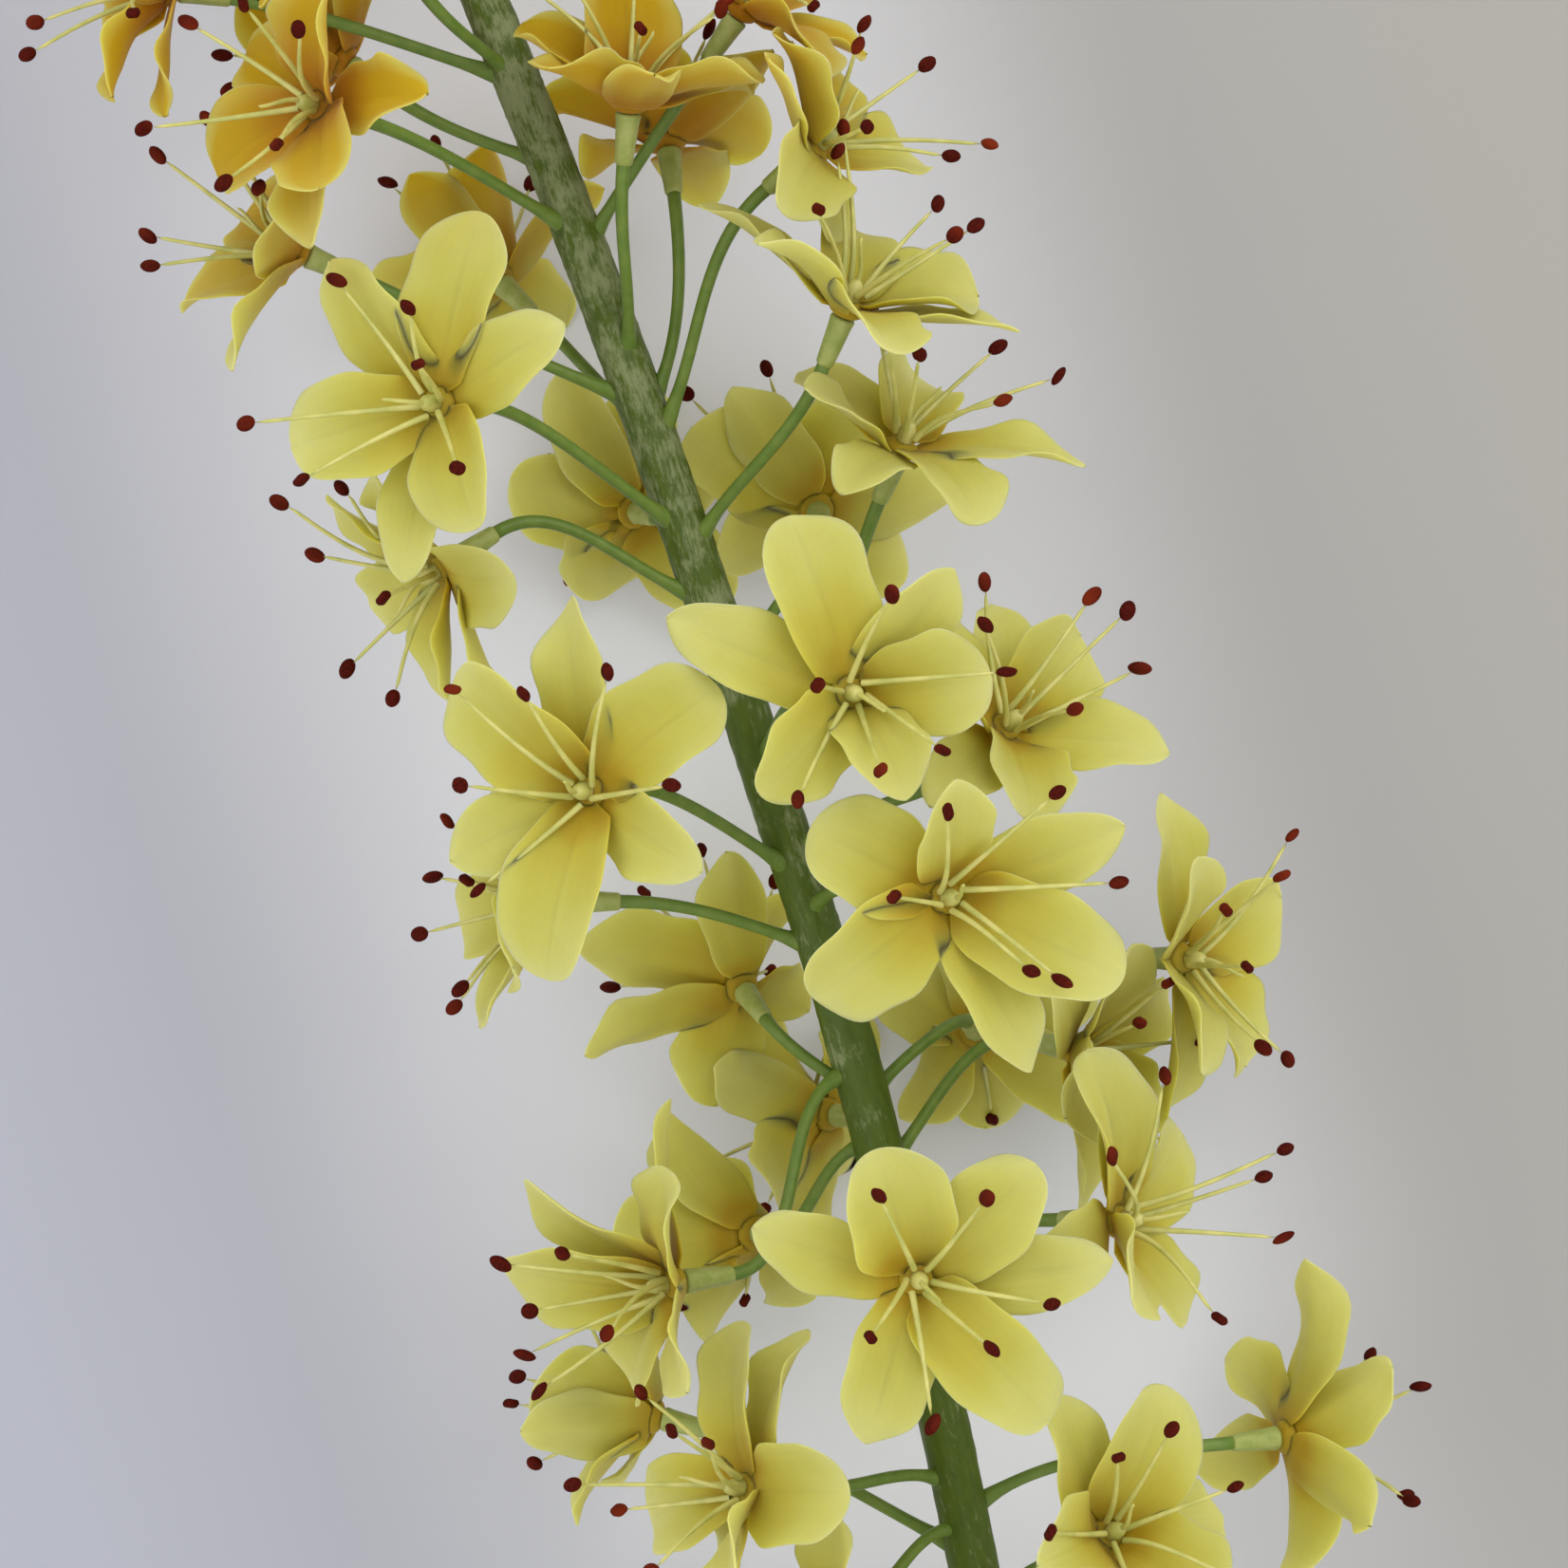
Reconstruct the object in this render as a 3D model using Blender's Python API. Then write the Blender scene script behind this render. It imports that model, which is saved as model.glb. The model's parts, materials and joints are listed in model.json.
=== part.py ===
"""A foxtail lily spike cut for the vase, lying on its side: stem, open florets and buds.

The florets are placed as they stand in the photograph. Picture positions are in its
pixels, 11 to the millimetre at the stem, and depths are in millimetres over the stem.
The spike lies along +X with its tip at +X, and +Z is up. Lengths are in millimetres
until the solids are made, which are in metres.
"""

import itertools
import math
import random

import bmesh
import bpy
import numpy as np
from mathutils import Vector
from mathutils.bvhtree import BVHTree

# The picture and the frame
PX_PER_MM = 11.0
PICTURE_MIDDLE = 826.0
EYE_HEIGHT = 480.0
PICTURE_ROLL = math.radians(-107.0)
AXIS_HEIGHT = 26.0
ORIGIN = (-34.5, 1.4)
RIGHT = np.array([math.cos(PICTURE_ROLL), math.sin(PICTURE_ROLL), 0.0])
UP = np.array([-math.sin(PICTURE_ROLL), math.cos(PICTURE_ROLL), 0.0])
NEAR = np.array([0.0, 0.0, 1.0])

# The stem: picture x, picture y, depth and radius from the cut end to the tip
STEM = (
    (1367, 3490, -23.0, 3.00),
    (1195, 2600, -12.0, 2.75),
    (1026, 1652, -1.0, 2.45),
    (910, 1150, 0.0, 2.40),
    (802, 800, 0.0, 2.40),
    (684, 450, 0.0, 2.35),
    (591, 200, 0.0, 2.30),
    (511, 0, 0.0, 2.20),
    (305, -520, -1.0, 1.60),
    (69, -1071, -6.0, 0.60),
)
STEM_SIDES = 8
STEM_STEPS = 1

# Pedicels and the pale sleeves that hold the florets
PEDICEL_RADIUS = 0.60
PEDICEL_SIDES = 4
SLEEVE_LENGTH = 4.5
SLEEVE_RADIUS = 1.20
SEAT_GAP = 0.30

# Florets
BROAD_LENGTH = 13.0
BROAD_WIDTH = 8.7
NARROW_LENGTH = 14.5
NARROW_WIDTH = 7.0
TEPAL_THICKNESS = 0.60
CORE_RADIUS = 1.55
FOOT_HALF_WIDTH = 0.5
COLUMN_RADIUS = 0.75
COLUMN_HEIGHT = 4.8
FILAMENT_LENGTH = 11.0
FILAMENT_RADIUS = 0.35
ANTHER_RADIUS = 0.80
ANTHER_LENGTH = 2.40
CLEARANCE = 0.38
FREE = 0.04
MOST_TURN = math.radians(42)
MERGE_DISTANCE = 2e-5

# Buds over the last open floret
BUD_COUNT = 38
BUD_FIRST_Y = -330
BUD_LAST_Y = -1045
GOLDEN_ANGLE = math.radians(137.5)

# Each floret: name, picture y of its root on the stem, picture x and y and depth of
# its middle, the way it faces as right, up and near, the tepal tips that the picture
# shows (broad or narrow, x, y) and the anthers that it shows (x, y).
B, N = "broad", "narrow"
FLORETS = (
    ("01", 78, 190, -10, 6, (-0.9, 0.1, 0.3),
     ((B, 118, 95), (N, 170, 125)),
     ((57, 15), (48, 40), (178, 12))),
    ("02", 237, 345, 115, 19, (-0.6, 0.1, 0.75),
     ((B, 345, -20), (N, 262, 55), (B, 235, 185), (N, 330, 255), (B, 400, 230), (N, 425, 100)),
     ((220, 40), (247, 60), (178, 130))),
    ("03", 165, 370, 70, -2, (-0.7, 0.5, -0.1), (), ()),
    ("04", 415, 325, 270, 4, (-0.85, 0.35, 0.3),
     ((N, 190, 303), (B, 258, 232), (N, 235, 262), (B, 292, 220)),
     ((178, 252), (195, 153), (195, 190), (228, 147), (262, 205))),
    ("05", 440, 530, 300, -14, (-0.6, 0.6, -0.45),
     ((N, 430, 180), (B, 545, 165), (B, 598, 345)),
     ((463, 175),)),
    ("06", 612, 672, 540, -13, (-0.35, 0.15, -0.85),
     ((B, 537, 538), (N, 590, 395), (B, 632, 625), (N, 768, 485)), ()),
    ("07", 375, 662, 120, 13, (0.1, 0.9, 0.3),
     ((B, 555, 25), (B, 800, 85), (N, 690, 70)),
     ((672, 40), (739, 22))),
    ("08", 430, 705, 160, -4, (-0.1, 0.85, -0.4),
     ((B, 575, 108), (N, 640, 205), (N, 745, 195), (B, 795, 165)), ()),
    ("09", 258, 775, 20, 6, (0.5, 0.7, 0.2),
     ((B, 830, 130),),
     ((739, 22), (832, 18))),
    ("10", 550, 470, 425, 21, (-0.5, -0.05, 0.85),
     ((B, 490, 212), (N, 590, 340), (N, 350, 275), (B, 310, 470), (B, 510, 560), (N, 425, 610)),
     ((378, 313), (423, 398), (287, 443), (327, 469))),
    ("11", 575, 888, 335, 13, (0.35, 0.85, 0.3),
     ((N, 742, 213), (N, 1072, 342), (B, 900, 240), (B, 930, 370)),
     ((896, 158), (893, 183), (1003, 245), (990, 255))),
    ("12", 460, 848, 165, 10, (0.7, 0.55, 0.3),
     ((B, 865, 80), (B, 968, 168), (N, 975, 222)),
     ((903, 67), (940, 83), (963, 78), (1018, 150))),
    ("13", 625, 478, 590, 6, (-0.75, -0.5, 0.2),
     ((N, 385, 642), (B, 463, 733), (B, 550, 605)),
     ((328, 522), (343, 558), (372, 520), (373, 683))),
    ("14", 835, 945, 482, 6, (0.33, 0.8, 0.42),
     ((N, 1142, 487), (B, 1038, 555), (B, 960, 397), (N, 848, 395)),
     ((968, 383), (1038, 383), (1090, 404), (947, 380))),
    ("15", 700, 862, 540, -4, (-0.1, 0.3, -0.9),
     ((N, 772, 408), (B, 722, 465), (N, 760, 590), (B, 955, 605), (N, 1000, 520)),
     ((724, 410), (818, 412), (857, 465))),
    ("16", 800, 890, 728, 24, (0.3, -0.1, 0.9),
     ((B, 832, 547), (N, 705, 648), (N, 1008, 622), (B, 1035, 712), (B, 862, 835), (N, 955, 835)),
     ((938, 647), (923, 858), (950, 852), (1050, 718))),
    ("17", 900, 1050, 775, 15, (0.5, 0.5, 0.6),
     ((B, 1133, 668), (N, 1232, 785), (N, 1050, 640), (B, 1080, 860), (N, 985, 850)),
     ((1025, 608), (1058, 635), (1143, 653), (1168, 660), (1170, 711), (1127, 722))),
    ("18", 912, 628, 832, 22, (-0.45, -0.05, 0.88),
     ((B, 487, 708), (N, 600, 633), (B, 762, 728), (N, 735, 915), (B, 577, 1028), (N, 475, 905)),
     ((510, 725), (560, 753), (627, 723), (671, 711), (537, 822), (492, 867))),
    ("19", 992, 600, 950, 4, (-0.9, 0.0, 0.1),
     ((N, 497, 1077), (B, 480, 970)),
     ((447, 958), (473, 935))),
    ("20", 1142, 785, 1045, -6, (-0.4, 0.5, -0.75),
     ((B, 612, 1000), (N, 625, 1122), (B, 755, 1165), (N, 760, 900), (B, 830, 960), (N, 845, 1060)),
     ((698, 955), (742, 1008))),
    ("21", 960, 990, 945, 25, (0.35, 0.0, 0.9),
     ((B, 862, 860), (B, 855, 1045), (N, 1093, 1125), (B, 1180, 1035), (N, 1187, 875), (N, 1010, 830)),
     ((1075, 1003), (1095, 1020), (1102, 832), (1005, 865), (1058, 865), (1153, 955))),
    ("22", 1155, 1028, 1085, -13, (0.2, -0.2, -0.9),
     ((N, 958, 1178), (B, 1045, 1160)), ()),
    ("23", 1040, 1235, 1010, 0, (0.75, 0.0, 0.62),
     ((N, 1222, 840), (N, 1272, 905), (B, 1305, 1125), (B, 1222, 1200), (N, 1280, 1135)),
     ((1342, 895), (1336, 943), (1340, 1013), (1337, 1100))),
    ("24", 1228, 1125, 1105, -2, (0.5, -0.1, 0.3), (), ()),
    ("25", 1200, 880, 1175, -14, (-0.7, 0.0, -0.6),
     ((B, 765, 1255),), ((851, 1108),)),
    ("26", 1128, 722, 1350, 10, (-0.9, -0.1, 0.35),
     ((N, 562, 1213), (N, 543, 1247), (B, 680, 1210), (B, 522, 1318), (B, 660, 1440)),
     ((555, 1307), (610, 1352), (583, 1375), (560, 1380), (547, 1395), (603, 1418))),
    ("27", 1205, 800, 1300, -7, (-0.45, -0.1, -0.75),
     ((B, 740, 1245), (N, 728, 1345), (B, 772, 1390), (N, 848, 1375)), ()),
    ("28", 1400, 965, 1345, 26, (0.1, -0.05, 0.98),
     ((B, 925, 1215), (N, 798, 1290), (N, 920, 1520), (B, 1090, 1505), (N, 1180, 1325), (B, 1090, 1228)),
     ((1025, 1280), (1082, 1370), (1015, 1390), (1003, 1412), (1047, 1450))),
    ("29", 1330, 1165, 1285, 14, (0.85, 0.05, 0.5),
     ((B, 1120, 1112), (N, 1228, 1118), (B, 1195, 1365), (N, 1110, 1335), (B, 1240, 1190)),
     ((1213, 1153), (1172, 1203), (1308, 1246), (1335, 1228), (1330, 1281))),
    ("30", 1557, 800, 1568, 15, (-0.8, 0.1, 0.5),
     ((B, 790, 1395), (N, 848, 1402), (B, 690, 1610), (N, 770, 1660), (B, 900, 1652)),
     ((628, 1567), (673, 1577), (715, 1523), (748, 1523))),
    ("31", 1628, 700, 1495, -6, (-0.9, 0.2, -0.2),
     ((N, 540, 1497), (B, 597, 1480), (N, 650, 1560), (B, 695, 1375)),
     ((590, 1460), (653, 1450), (668, 1475))),
    ("32", 1592, 1345, 1515, -4, (0.9, 0.05, -0.35),
     ((N, 1379, 1330), (B, 1289, 1435), (B, 1467, 1440), (B, 1350, 1655), (N, 1437, 1632), (N, 1225, 1542)),
     ((1425, 1517), (1467, 1553), (1428, 1582), (1275, 1545))),
    ("33", 1690, 1160, 1620, 18, (0.45, 0.35, 0.8),
     ((N, 1120, 1470), (B, 1230, 1465), (N, 1285, 1600), (B, 1100, 1650)),
     ((1212, 1568), (1237, 1580))),
    ("34", 1607, 880, 1725, 12, (-0.6, -0.5, 0.5), ((N, 885, 1600),), ()),
    ("35", 75, 410, -60, 12, (-0.5, 0.7, 0.4), (), ()),
    ("36", -20, 660, -190, 8, (0.6, 0.7, 0.3), (), ()),
    ("37", -60, 290, -190, -9, (-0.7, 0.5, -0.2), (), ()),
    ("38", -110, 430, -290, 19, (-0.1, 0.5, 0.85), (), ()),
    ("39", -160, 575, -330, -14, (0.7, 0.5, -0.1), (), ()),
    ("40", -230, 215, -400, 9, (-0.6, 0.7, 0.3), (), ()),
    ("41", 1790, 1310, 1850, 6, (0.9, 0.0, 0.3), (), ()),
    ("42", 1850, 960, 1880, 22, (-0.3, -0.1, 0.9), (), ()),
    ("43", 1800, 800, 1860, -10, (-0.8, 0.1, -0.4), (), ()),
)


def unit(v):
    v = np.asarray(v, float)
    return v / np.linalg.norm(v)


def spot(x, y, depth):
    """The point seen at pixel x, y of the picture at a depth over the stem."""
    scale = (EYE_HEIGHT - depth) / EYE_HEIGHT / PX_PER_MM
    flat = RIGHT * (x - PICTURE_MIDDLE) + UP * (PICTURE_MIDDLE - y)
    return flat * scale + NEAR * (AXIS_HEIGHT + depth)


def aim(facing):
    """A direction given as right, up and near in the picture."""
    return unit(RIGHT * facing[0] + UP * facing[1] + NEAR * facing[2])


def across(direction):
    """Two unit vectors square to a direction and to each other."""
    side = np.cross(direction, NEAR)
    if np.linalg.norm(side) < 0.2:
        side = np.cross(direction, RIGHT)
    side = unit(side)
    return side, np.cross(direction, side)


def stem_line(steps):
    """Points, radii and picture rows along the stem, a smooth curve through STEM."""
    knots = np.array(STEM, float)
    rows = []
    for i in range(len(knots) - 1):
        a, b = knots[i], knots[i + 1]
        before = knots[i - 1] if i else 2 * a - b
        after = knots[i + 2] if i + 2 < len(knots) else 2 * b - a
        for k in range(steps):
            t = k / steps
            rows.append(0.5 * (2 * a + (b - before) * t
                               + (2 * before - 5 * a + 4 * b - after) * t ** 2
                               + (3 * a - before - 3 * b + after) * t ** 3))
    rows.append(knots[-1])
    rows = np.array(rows)
    points = np.array([spot(x, y, depth) for x, y, depth, _ in rows])
    return points, rows[:, 3], rows[:, 1]


def stem_at(y, line):
    """Point, radius and direction of the stem at a picture row."""
    points, radii, rows = line
    at = np.interp(-y, -rows, np.arange(len(rows)))
    i = min(int(at), len(rows) - 2)
    t = at - i
    point = points[i] * (1 - t) + points[i + 1] * t
    return point, radii[i] * (1 - t) + radii[i + 1] * t, unit(points[i + 1] - points[i])


def bezier(p0, p1, p2, p3, count):
    t = np.linspace(0, 1, count)[:, None]
    return (p0 * (1 - t) ** 3 + 3 * p1 * t * (1 - t) ** 2
            + 3 * p2 * t ** 2 * (1 - t) + p3 * t ** 3)


def halves(a, b, c, d):
    """Two triangles for a face of four corners."""
    return [(a, b, c), (a, c, d)]


def tube(points, radii, sides):
    """Vertices and faces of a closed round tube along a line."""
    points = np.asarray(points, float)
    count = len(points)
    vertices, faces = [], []
    side, _ = across(unit(points[1] - points[0]))
    for i in range(count):
        tangent = unit(points[min(i + 1, count - 1)] - points[max(i - 1, 0)])
        side = unit(side - tangent * (side @ tangent))
        other = np.cross(tangent, side)
        for k in range(sides):
            turn = 2 * math.pi * k / sides
            ring = side * math.cos(turn) + other * math.sin(turn)
            vertices.append(points[i] + ring * radii[i])
    for i in range(count - 1):
        for k in range(sides):
            a, b = i * sides + k, i * sides + (k + 1) % sides
            faces += halves(a, b, b + sides, a + sides)
    faces.append(tuple(reversed(range(sides))))
    faces.append(tuple(range((count - 1) * sides, count * sides)))
    return vertices, faces


def spindle(points, radii, sides):
    """A tube whose last point is a single tip."""
    vertices, faces = tube(points[:-1], radii[:-1], sides)
    faces.pop()
    last = len(vertices) - sides
    vertices.append(np.asarray(points[-1], float))
    for k in range(sides):
        faces.append((last + k, last + (k + 1) % sides, len(vertices) - 1))
    return vertices, faces


def pedicel_line(floret, line, count):
    """A pedicel from inside the stem to its sleeve's end, with its radii."""
    root, radius, along = stem_at(floret["root"], line)
    middle, facing = floret["middle"], floret["facing"]
    end = middle - facing * (SLEEVE_LENGTH + SEAT_GAP)
    out = end - root
    rise = float(out @ along)
    out = unit(out - along * rise)
    start = root + out * radius * 0.4
    reach = float(np.linalg.norm(end - start))
    lift = 0.45 + 0.55 * max(-1.0, min(1.0, rise / reach))
    leave = unit(out + along * lift)
    curve = bezier(start, start + leave * reach * 0.36,
                   end - facing * reach * 0.36, end, count)
    points = list(curve) + [end + facing * 0.9, middle - facing * SEAT_GAP]
    radii = [PEDICEL_RADIUS] * count + [SLEEVE_RADIUS * 0.95, SLEEVE_RADIUS]
    radii[0] = PEDICEL_RADIUS * 1.5
    return points, radii


def hub_solid(floret, extra):
    """Round room for the receptacle and column of a floret."""
    middle, facing = floret["middle"], floret["facing"]
    points = [middle, middle + facing * 1.5, middle + facing * COLUMN_HEIGHT]
    return tube(points, [CORE_RADIUS + extra, CORE_RADIUS + extra, COLUMN_RADIUS + extra], 6)


def bud_lines(line):
    """The buds of the tip, largest first: stalk and bud, with radii."""
    draw = random.Random(7)
    buds = []
    for i in range(BUD_COUNT):
        share = i / (BUD_COUNT - 1)
        y = BUD_FIRST_Y + (BUD_LAST_Y - BUD_FIRST_Y) * share
        root, radius, along = stem_at(y, line)
        side, other = across(along)
        turn = i * GOLDEN_ANGLE + draw.uniform(-0.15, 0.15)
        out = side * math.cos(turn) + other * math.sin(turn)
        size = 1.0 - 0.6 * share
        stalk = max(0.0, 6.0 - 15.0 * share)
        rise = 0.75 + 0.6 * share
        way = unit(out + along * rise)
        start = root + out * radius * 0.3
        foot = start + unit(out + along * rise * 0.6) * (radius * 0.6 + stalk)
        points = [start, foot, foot + way * 4.2 * size, foot + way * 9.0 * size]
        radii = [0.60, 0.6 + 0.5 * size, 2.4 * size, 0.2]
        if stalk < 1.0:
            del points[1], radii[1]
        buds.append((points, radii))
    return buds


def tip_of(base, x, y, length, facing, opening):
    """Where a tip seen at x, y lies, a length from its base and nearest an opening."""
    best = None
    for sign in (1, -1):
        depth = base[2] - AXIS_HEIGHT
        for _ in range(6):
            flat = spot(x, y, depth) - base
            flat[2] = 0.0
            left = max(length ** 2 - float(flat @ flat), 0.0)
            depth = base[2] - AXIS_HEIGHT + sign * math.sqrt(left)
        way = spot(x, y, depth) - base
        miss = abs(math.acos(max(-1.0, min(1.0, float(unit(way) @ facing)))) - opening)
        if best is None or miss < best[0]:
            best = (miss, way)
    return best[1]


def radial(floret, turn):
    return floret["side"] * math.cos(turn) + floret["other"] * math.sin(turn)


def polar(way, facing, side, other):
    """Turn about the floret's axis, opening from it, and length of a direction."""
    length = float(np.linalg.norm(way))
    turn = math.atan2(float(way @ other), float(way @ side))
    return turn, math.acos(max(-1.0, min(1.0, float(way @ facing) / length))), length


def blade_points(floret, tepal, ts, ss):
    """The middle surface of a tepal at shares ts of its length and ss of its width."""
    facing, opening, length = floret["facing"], tepal["opening"], tepal["length"]
    out = radial(floret, tepal["turn"])
    tangent = np.cross(facing, out)
    base = (floret["middle"] + facing * SEAT_HEIGHT[tepal["kind"]]
            + radial(floret, tepal["slot"]) * CORE_RADIUS)
    curl = tepal["curl"]
    fine = np.linspace(0, 1, 41)
    angle = opening + curl * (fine - 0.5)
    run = np.concatenate(([0.0], np.cumsum((np.sin(angle[1:]) + np.sin(angle[:-1])) / 80)))
    rise = np.concatenate(([0.0], np.cumsum((np.cos(angle[1:]) + np.cos(angle[:-1])) / 80)))
    stretch = length / math.hypot(run[-1], rise[-1])
    grid = np.zeros((len(ts), len(ss), 3))
    for i, t in enumerate(ts):
        x = np.interp(t, fine, run) * stretch
        z = np.interp(t, fine, rise) * stretch
        a = opening + curl * (t - 0.5)
        middle = base + out * x + facing * z
        inward = facing * math.sin(a) - out * math.cos(a)
        roll = tepal["roll"] * t
        cross = tangent * math.cos(roll) + inward * math.sin(roll)
        lift = inward * math.cos(roll) - tangent * math.sin(roll)
        half = tepal["width"] / 2 * np.interp(t, tepal["shape"][0], tepal["shape"][1])
        for j, s in enumerate(ss):
            wave = math.sin(tepal["phase"] + 5.0 * t) * s * abs(s) * tepal["wave"]
            grid[i, j] = middle + cross * half * s + lift * (half * tepal["cup"] * s * s + wave * t)
    grid[:, :, 2] = np.maximum(grid[:, :, 2], TEPAL_THICKNESS / 2)
    return grid


def strip(low, high):
    """Triangles between two rows of (share of width, vertex)."""
    faces, i, j = [], 0, 0
    while i < len(low) - 1 or j < len(high) - 1:
        if j == len(high) - 1 or (i < len(low) - 1 and low[i + 1][0] <= high[j + 1][0]):
            faces.append((low[i][1], low[i + 1][1], high[j][1]))
            i += 1
        else:
            faces.append((low[i][1], high[j + 1][1], high[j][1]))
            j += 1
    return faces


def foot_points(floret, slot, kind):
    """The upright oblong that a tepal grows from: high left, high right, low left, low right."""
    facing, out = floret["facing"], radial(floret, slot)
    tangent = np.cross(facing, out)
    foot = floret["middle"] + out * CORE_RADIUS + facing * SEAT_HEIGHT[kind]
    return [foot + facing * TEPAL_THICKNESS * way + tangent * FOOT_HALF_WIDTH * s
            for way, s in ((0.5, -1), (0.5, 1), (-0.5, -1), (-0.5, 1))]


def blade_layers(floret, tepal, thickness, free):
    """A tepal's two faces as rows of points; free moves its foot off the core."""
    grid = blade_points(floret, tepal, BLADE_ROWS, (-1.0, 0.0, 1.0))
    normal = np.cross(np.gradient(grid, axis=0), np.gradient(grid, axis=1))
    normal /= np.maximum(np.linalg.norm(normal, axis=2, keepdims=True), 1e-9)
    normal[-1] = normal[-2, 1]
    foot = foot_points(floret, tepal["slot"], tepal["kind"])
    away = radial(floret, tepal["slot"]) * free
    layers = []
    for k, way in enumerate((0.5, -0.5)):
        layer = grid + normal * thickness * way
        layer[0, 0], layer[0, 2] = foot[2 * k] + away, foot[2 * k + 1] + away
        layer[:, :, 2] = np.maximum(layer[:, :, 2], 0.0)
        layers.append(layer)
    return layers


def blade(floret, tepal, thickness, free, first=0):
    """A tepal's blade, split alike on both faces, closed at the foot if that is free."""
    top, bottom = blade_layers(floret, tepal, thickness, free)
    vertices, rows = [], ([], [])
    for layer, found in ((top, rows[0]), (bottom, rows[1])):
        for i, columns in enumerate(BLADE_COLUMNS):
            row = []
            for j in columns:
                row.append((j, first + len(vertices)))
                vertices.append(layer[i, j])
            found.append(row)
    faces = []
    last = len(BLADE_ROWS) - 1
    for i in range(last):
        faces += strip(rows[0][i], rows[0][i + 1])
        faces += [face[::-1] for face in strip(rows[1][i], rows[1][i + 1])]
    walk = [(i, -1) for i in range(last + 1)] + [(i, 0) for i in range(last - 1, -1, -1)]
    if free:
        walk.append((0, -1))
    for (i, a), (j, b) in zip(walk, walk[1:]):
        faces.append((rows[0][i][a][1], rows[1][i][a][1], rows[1][j][b][1]))
        faces.append((rows[0][i][a][1], rows[1][j][b][1], rows[0][j][b][1]))
    feet = (rows[0][0][0][1], rows[0][0][1][1], rows[1][0][0][1], rows[1][0][1][1])
    return vertices, faces, feet


def column_top(floret):
    return [floret["middle"] + floret["facing"] * COLUMN_HEIGHT
            + radial(floret, floret["start"] + k * math.pi / 3) * COLUMN_RADIUS for k in range(6)]


def stamen_foot(floret, k):
    """The three points on the column's side that a stamen grows from."""
    turn = floret["start"] + k * math.pi / 3
    left, right = foot_points(floret, turn, floret["kinds"][k])[:2]
    return list(STAMEN_FOOT @ np.array([left, right, column_top(floret)[k]]))


def core_solid(floret, bare=False):
    """A floret as one closed skin, or its receptacle and column alone."""
    middle, start = floret["middle"], floret["start"]
    vertices, faces, feet = [], [], []
    tepals = {piece["k"]: piece for piece in floret["tepals"]}
    stamens = {piece["k"]: piece for piece in floret["stamens"]}
    if bare:
        tepals, stamens = {}, {}
    for k in range(6):
        if k in tepals:
            more, skin, foot = blade(floret, tepals[k], TEPAL_THICKNESS, 0.0, len(vertices))
            vertices += more
            faces += skin
        else:
            foot = tuple(range(len(vertices), len(vertices) + 4))
            vertices += foot_points(floret, start + k * math.pi / 3, floret["kinds"][k])
            faces += halves(foot[0], foot[1], foot[3], foot[2])
        feet.append(foot)
    under = len(vertices)
    vertices.append(middle)
    top = len(vertices)
    vertices += column_top(floret)
    for k in range(6):
        left, right, low_left, low_right = feet[k]
        after = feet[(k + 1) % 6]
        here, there = top + k, top + (k + 1) % 6
        faces += halves(right, after[0], after[2], low_right)
        faces += [(low_left, under, low_right), (low_right, under, after[2])]
        faces += [(right, there, here), (right, after[0], there)]
        if k not in stamens or (floret["unseen"] and k % 2):
            faces.append((left, right, here))
            continue
        first = len(vertices)
        corner = (left, right, here)
        for a, b in ((0, 1), (1, 2), (2, 0)):
            faces += halves(corner[a], corner[b], first + b, first + a)
        more, skin = stamen_skin(floret, stamens[k], 0.0, 0.0, first)
        vertices += more
        faces += skin
    faces.append(tuple(range(top, top + 6)))
    return vertices, faces


def stamen_line(floret, stamen, count):
    """A filament and its anther, from inside the column to the anther's tip."""
    facing, out = floret["facing"], radial(floret, stamen["turn"])
    start = floret["middle"] + facing * 2.6 + radial(floret, stamen["slot"]) * 1.2
    opening, length, sag = stamen["opening"], stamen["length"], stamen["sag"]
    end = start + (facing * math.cos(opening) + out * math.sin(opening)) * length
    first = unit(facing * math.cos(opening * sag) + out * math.sin(opening * sag))
    last = unit(end - start) * (1 + sag) - first * sag
    curve = bezier(start, start + first * length * 0.35, end - unit(last) * length * 0.3, end, count)
    way = unit(curve[-1] - curve[-2])
    points = list(curve) + [end + way * ANTHER_LENGTH * 0.45, end + way * ANTHER_LENGTH]
    return points


def stamen_skin(floret, stamen, extra, free, first=0):
    """A stamen on its foot of three points, closed there if the foot is free."""
    points = stamen_line(floret, stamen, 2)
    out = radial(floret, stamen["slot"])
    tangent = np.cross(floret["facing"], out)
    vertices = [point + out * free for point in stamen_foot(floret, stamen["k"])]
    for i, radius in ((1, FILAMENT_RADIUS), (2, ANTHER_RADIUS)):
        if i == 1 and floret["unseen"]:
            continue
        way = unit(points[i] - points[i - 1])
        side = unit(tangent - way * (tangent @ way))
        up = np.cross(way, side)
        for turn in (210, 330, 90):
            a = math.radians(turn)
            vertices.append(points[i] + (side * math.cos(a) + up * math.sin(a)) * (radius + extra))
    vertices.append(points[3])
    last = first + len(vertices) - 1
    faces = []
    for a, b in ((0, 1), (1, 2), (2, 0)):
        for low in range(first, last - 3, 3):
            faces += halves(low + a, low + b, low + 3 + b, low + 3 + a)
        faces.append((last - 3 + a, last - 3 + b, last))
    if free:
        faces.append((first, first + 1, first + 2))
    return vertices, faces


def tree(solids):
    """One search tree over several solids given as vertices and faces."""
    vertices, faces = [], []
    for v, f in solids:
        faces += [tuple(i + len(vertices) for i in face) for face in f]
        vertices += [Vector(p) for p in v]
    return BVHTree.FromPolygons(vertices, faces)


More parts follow.
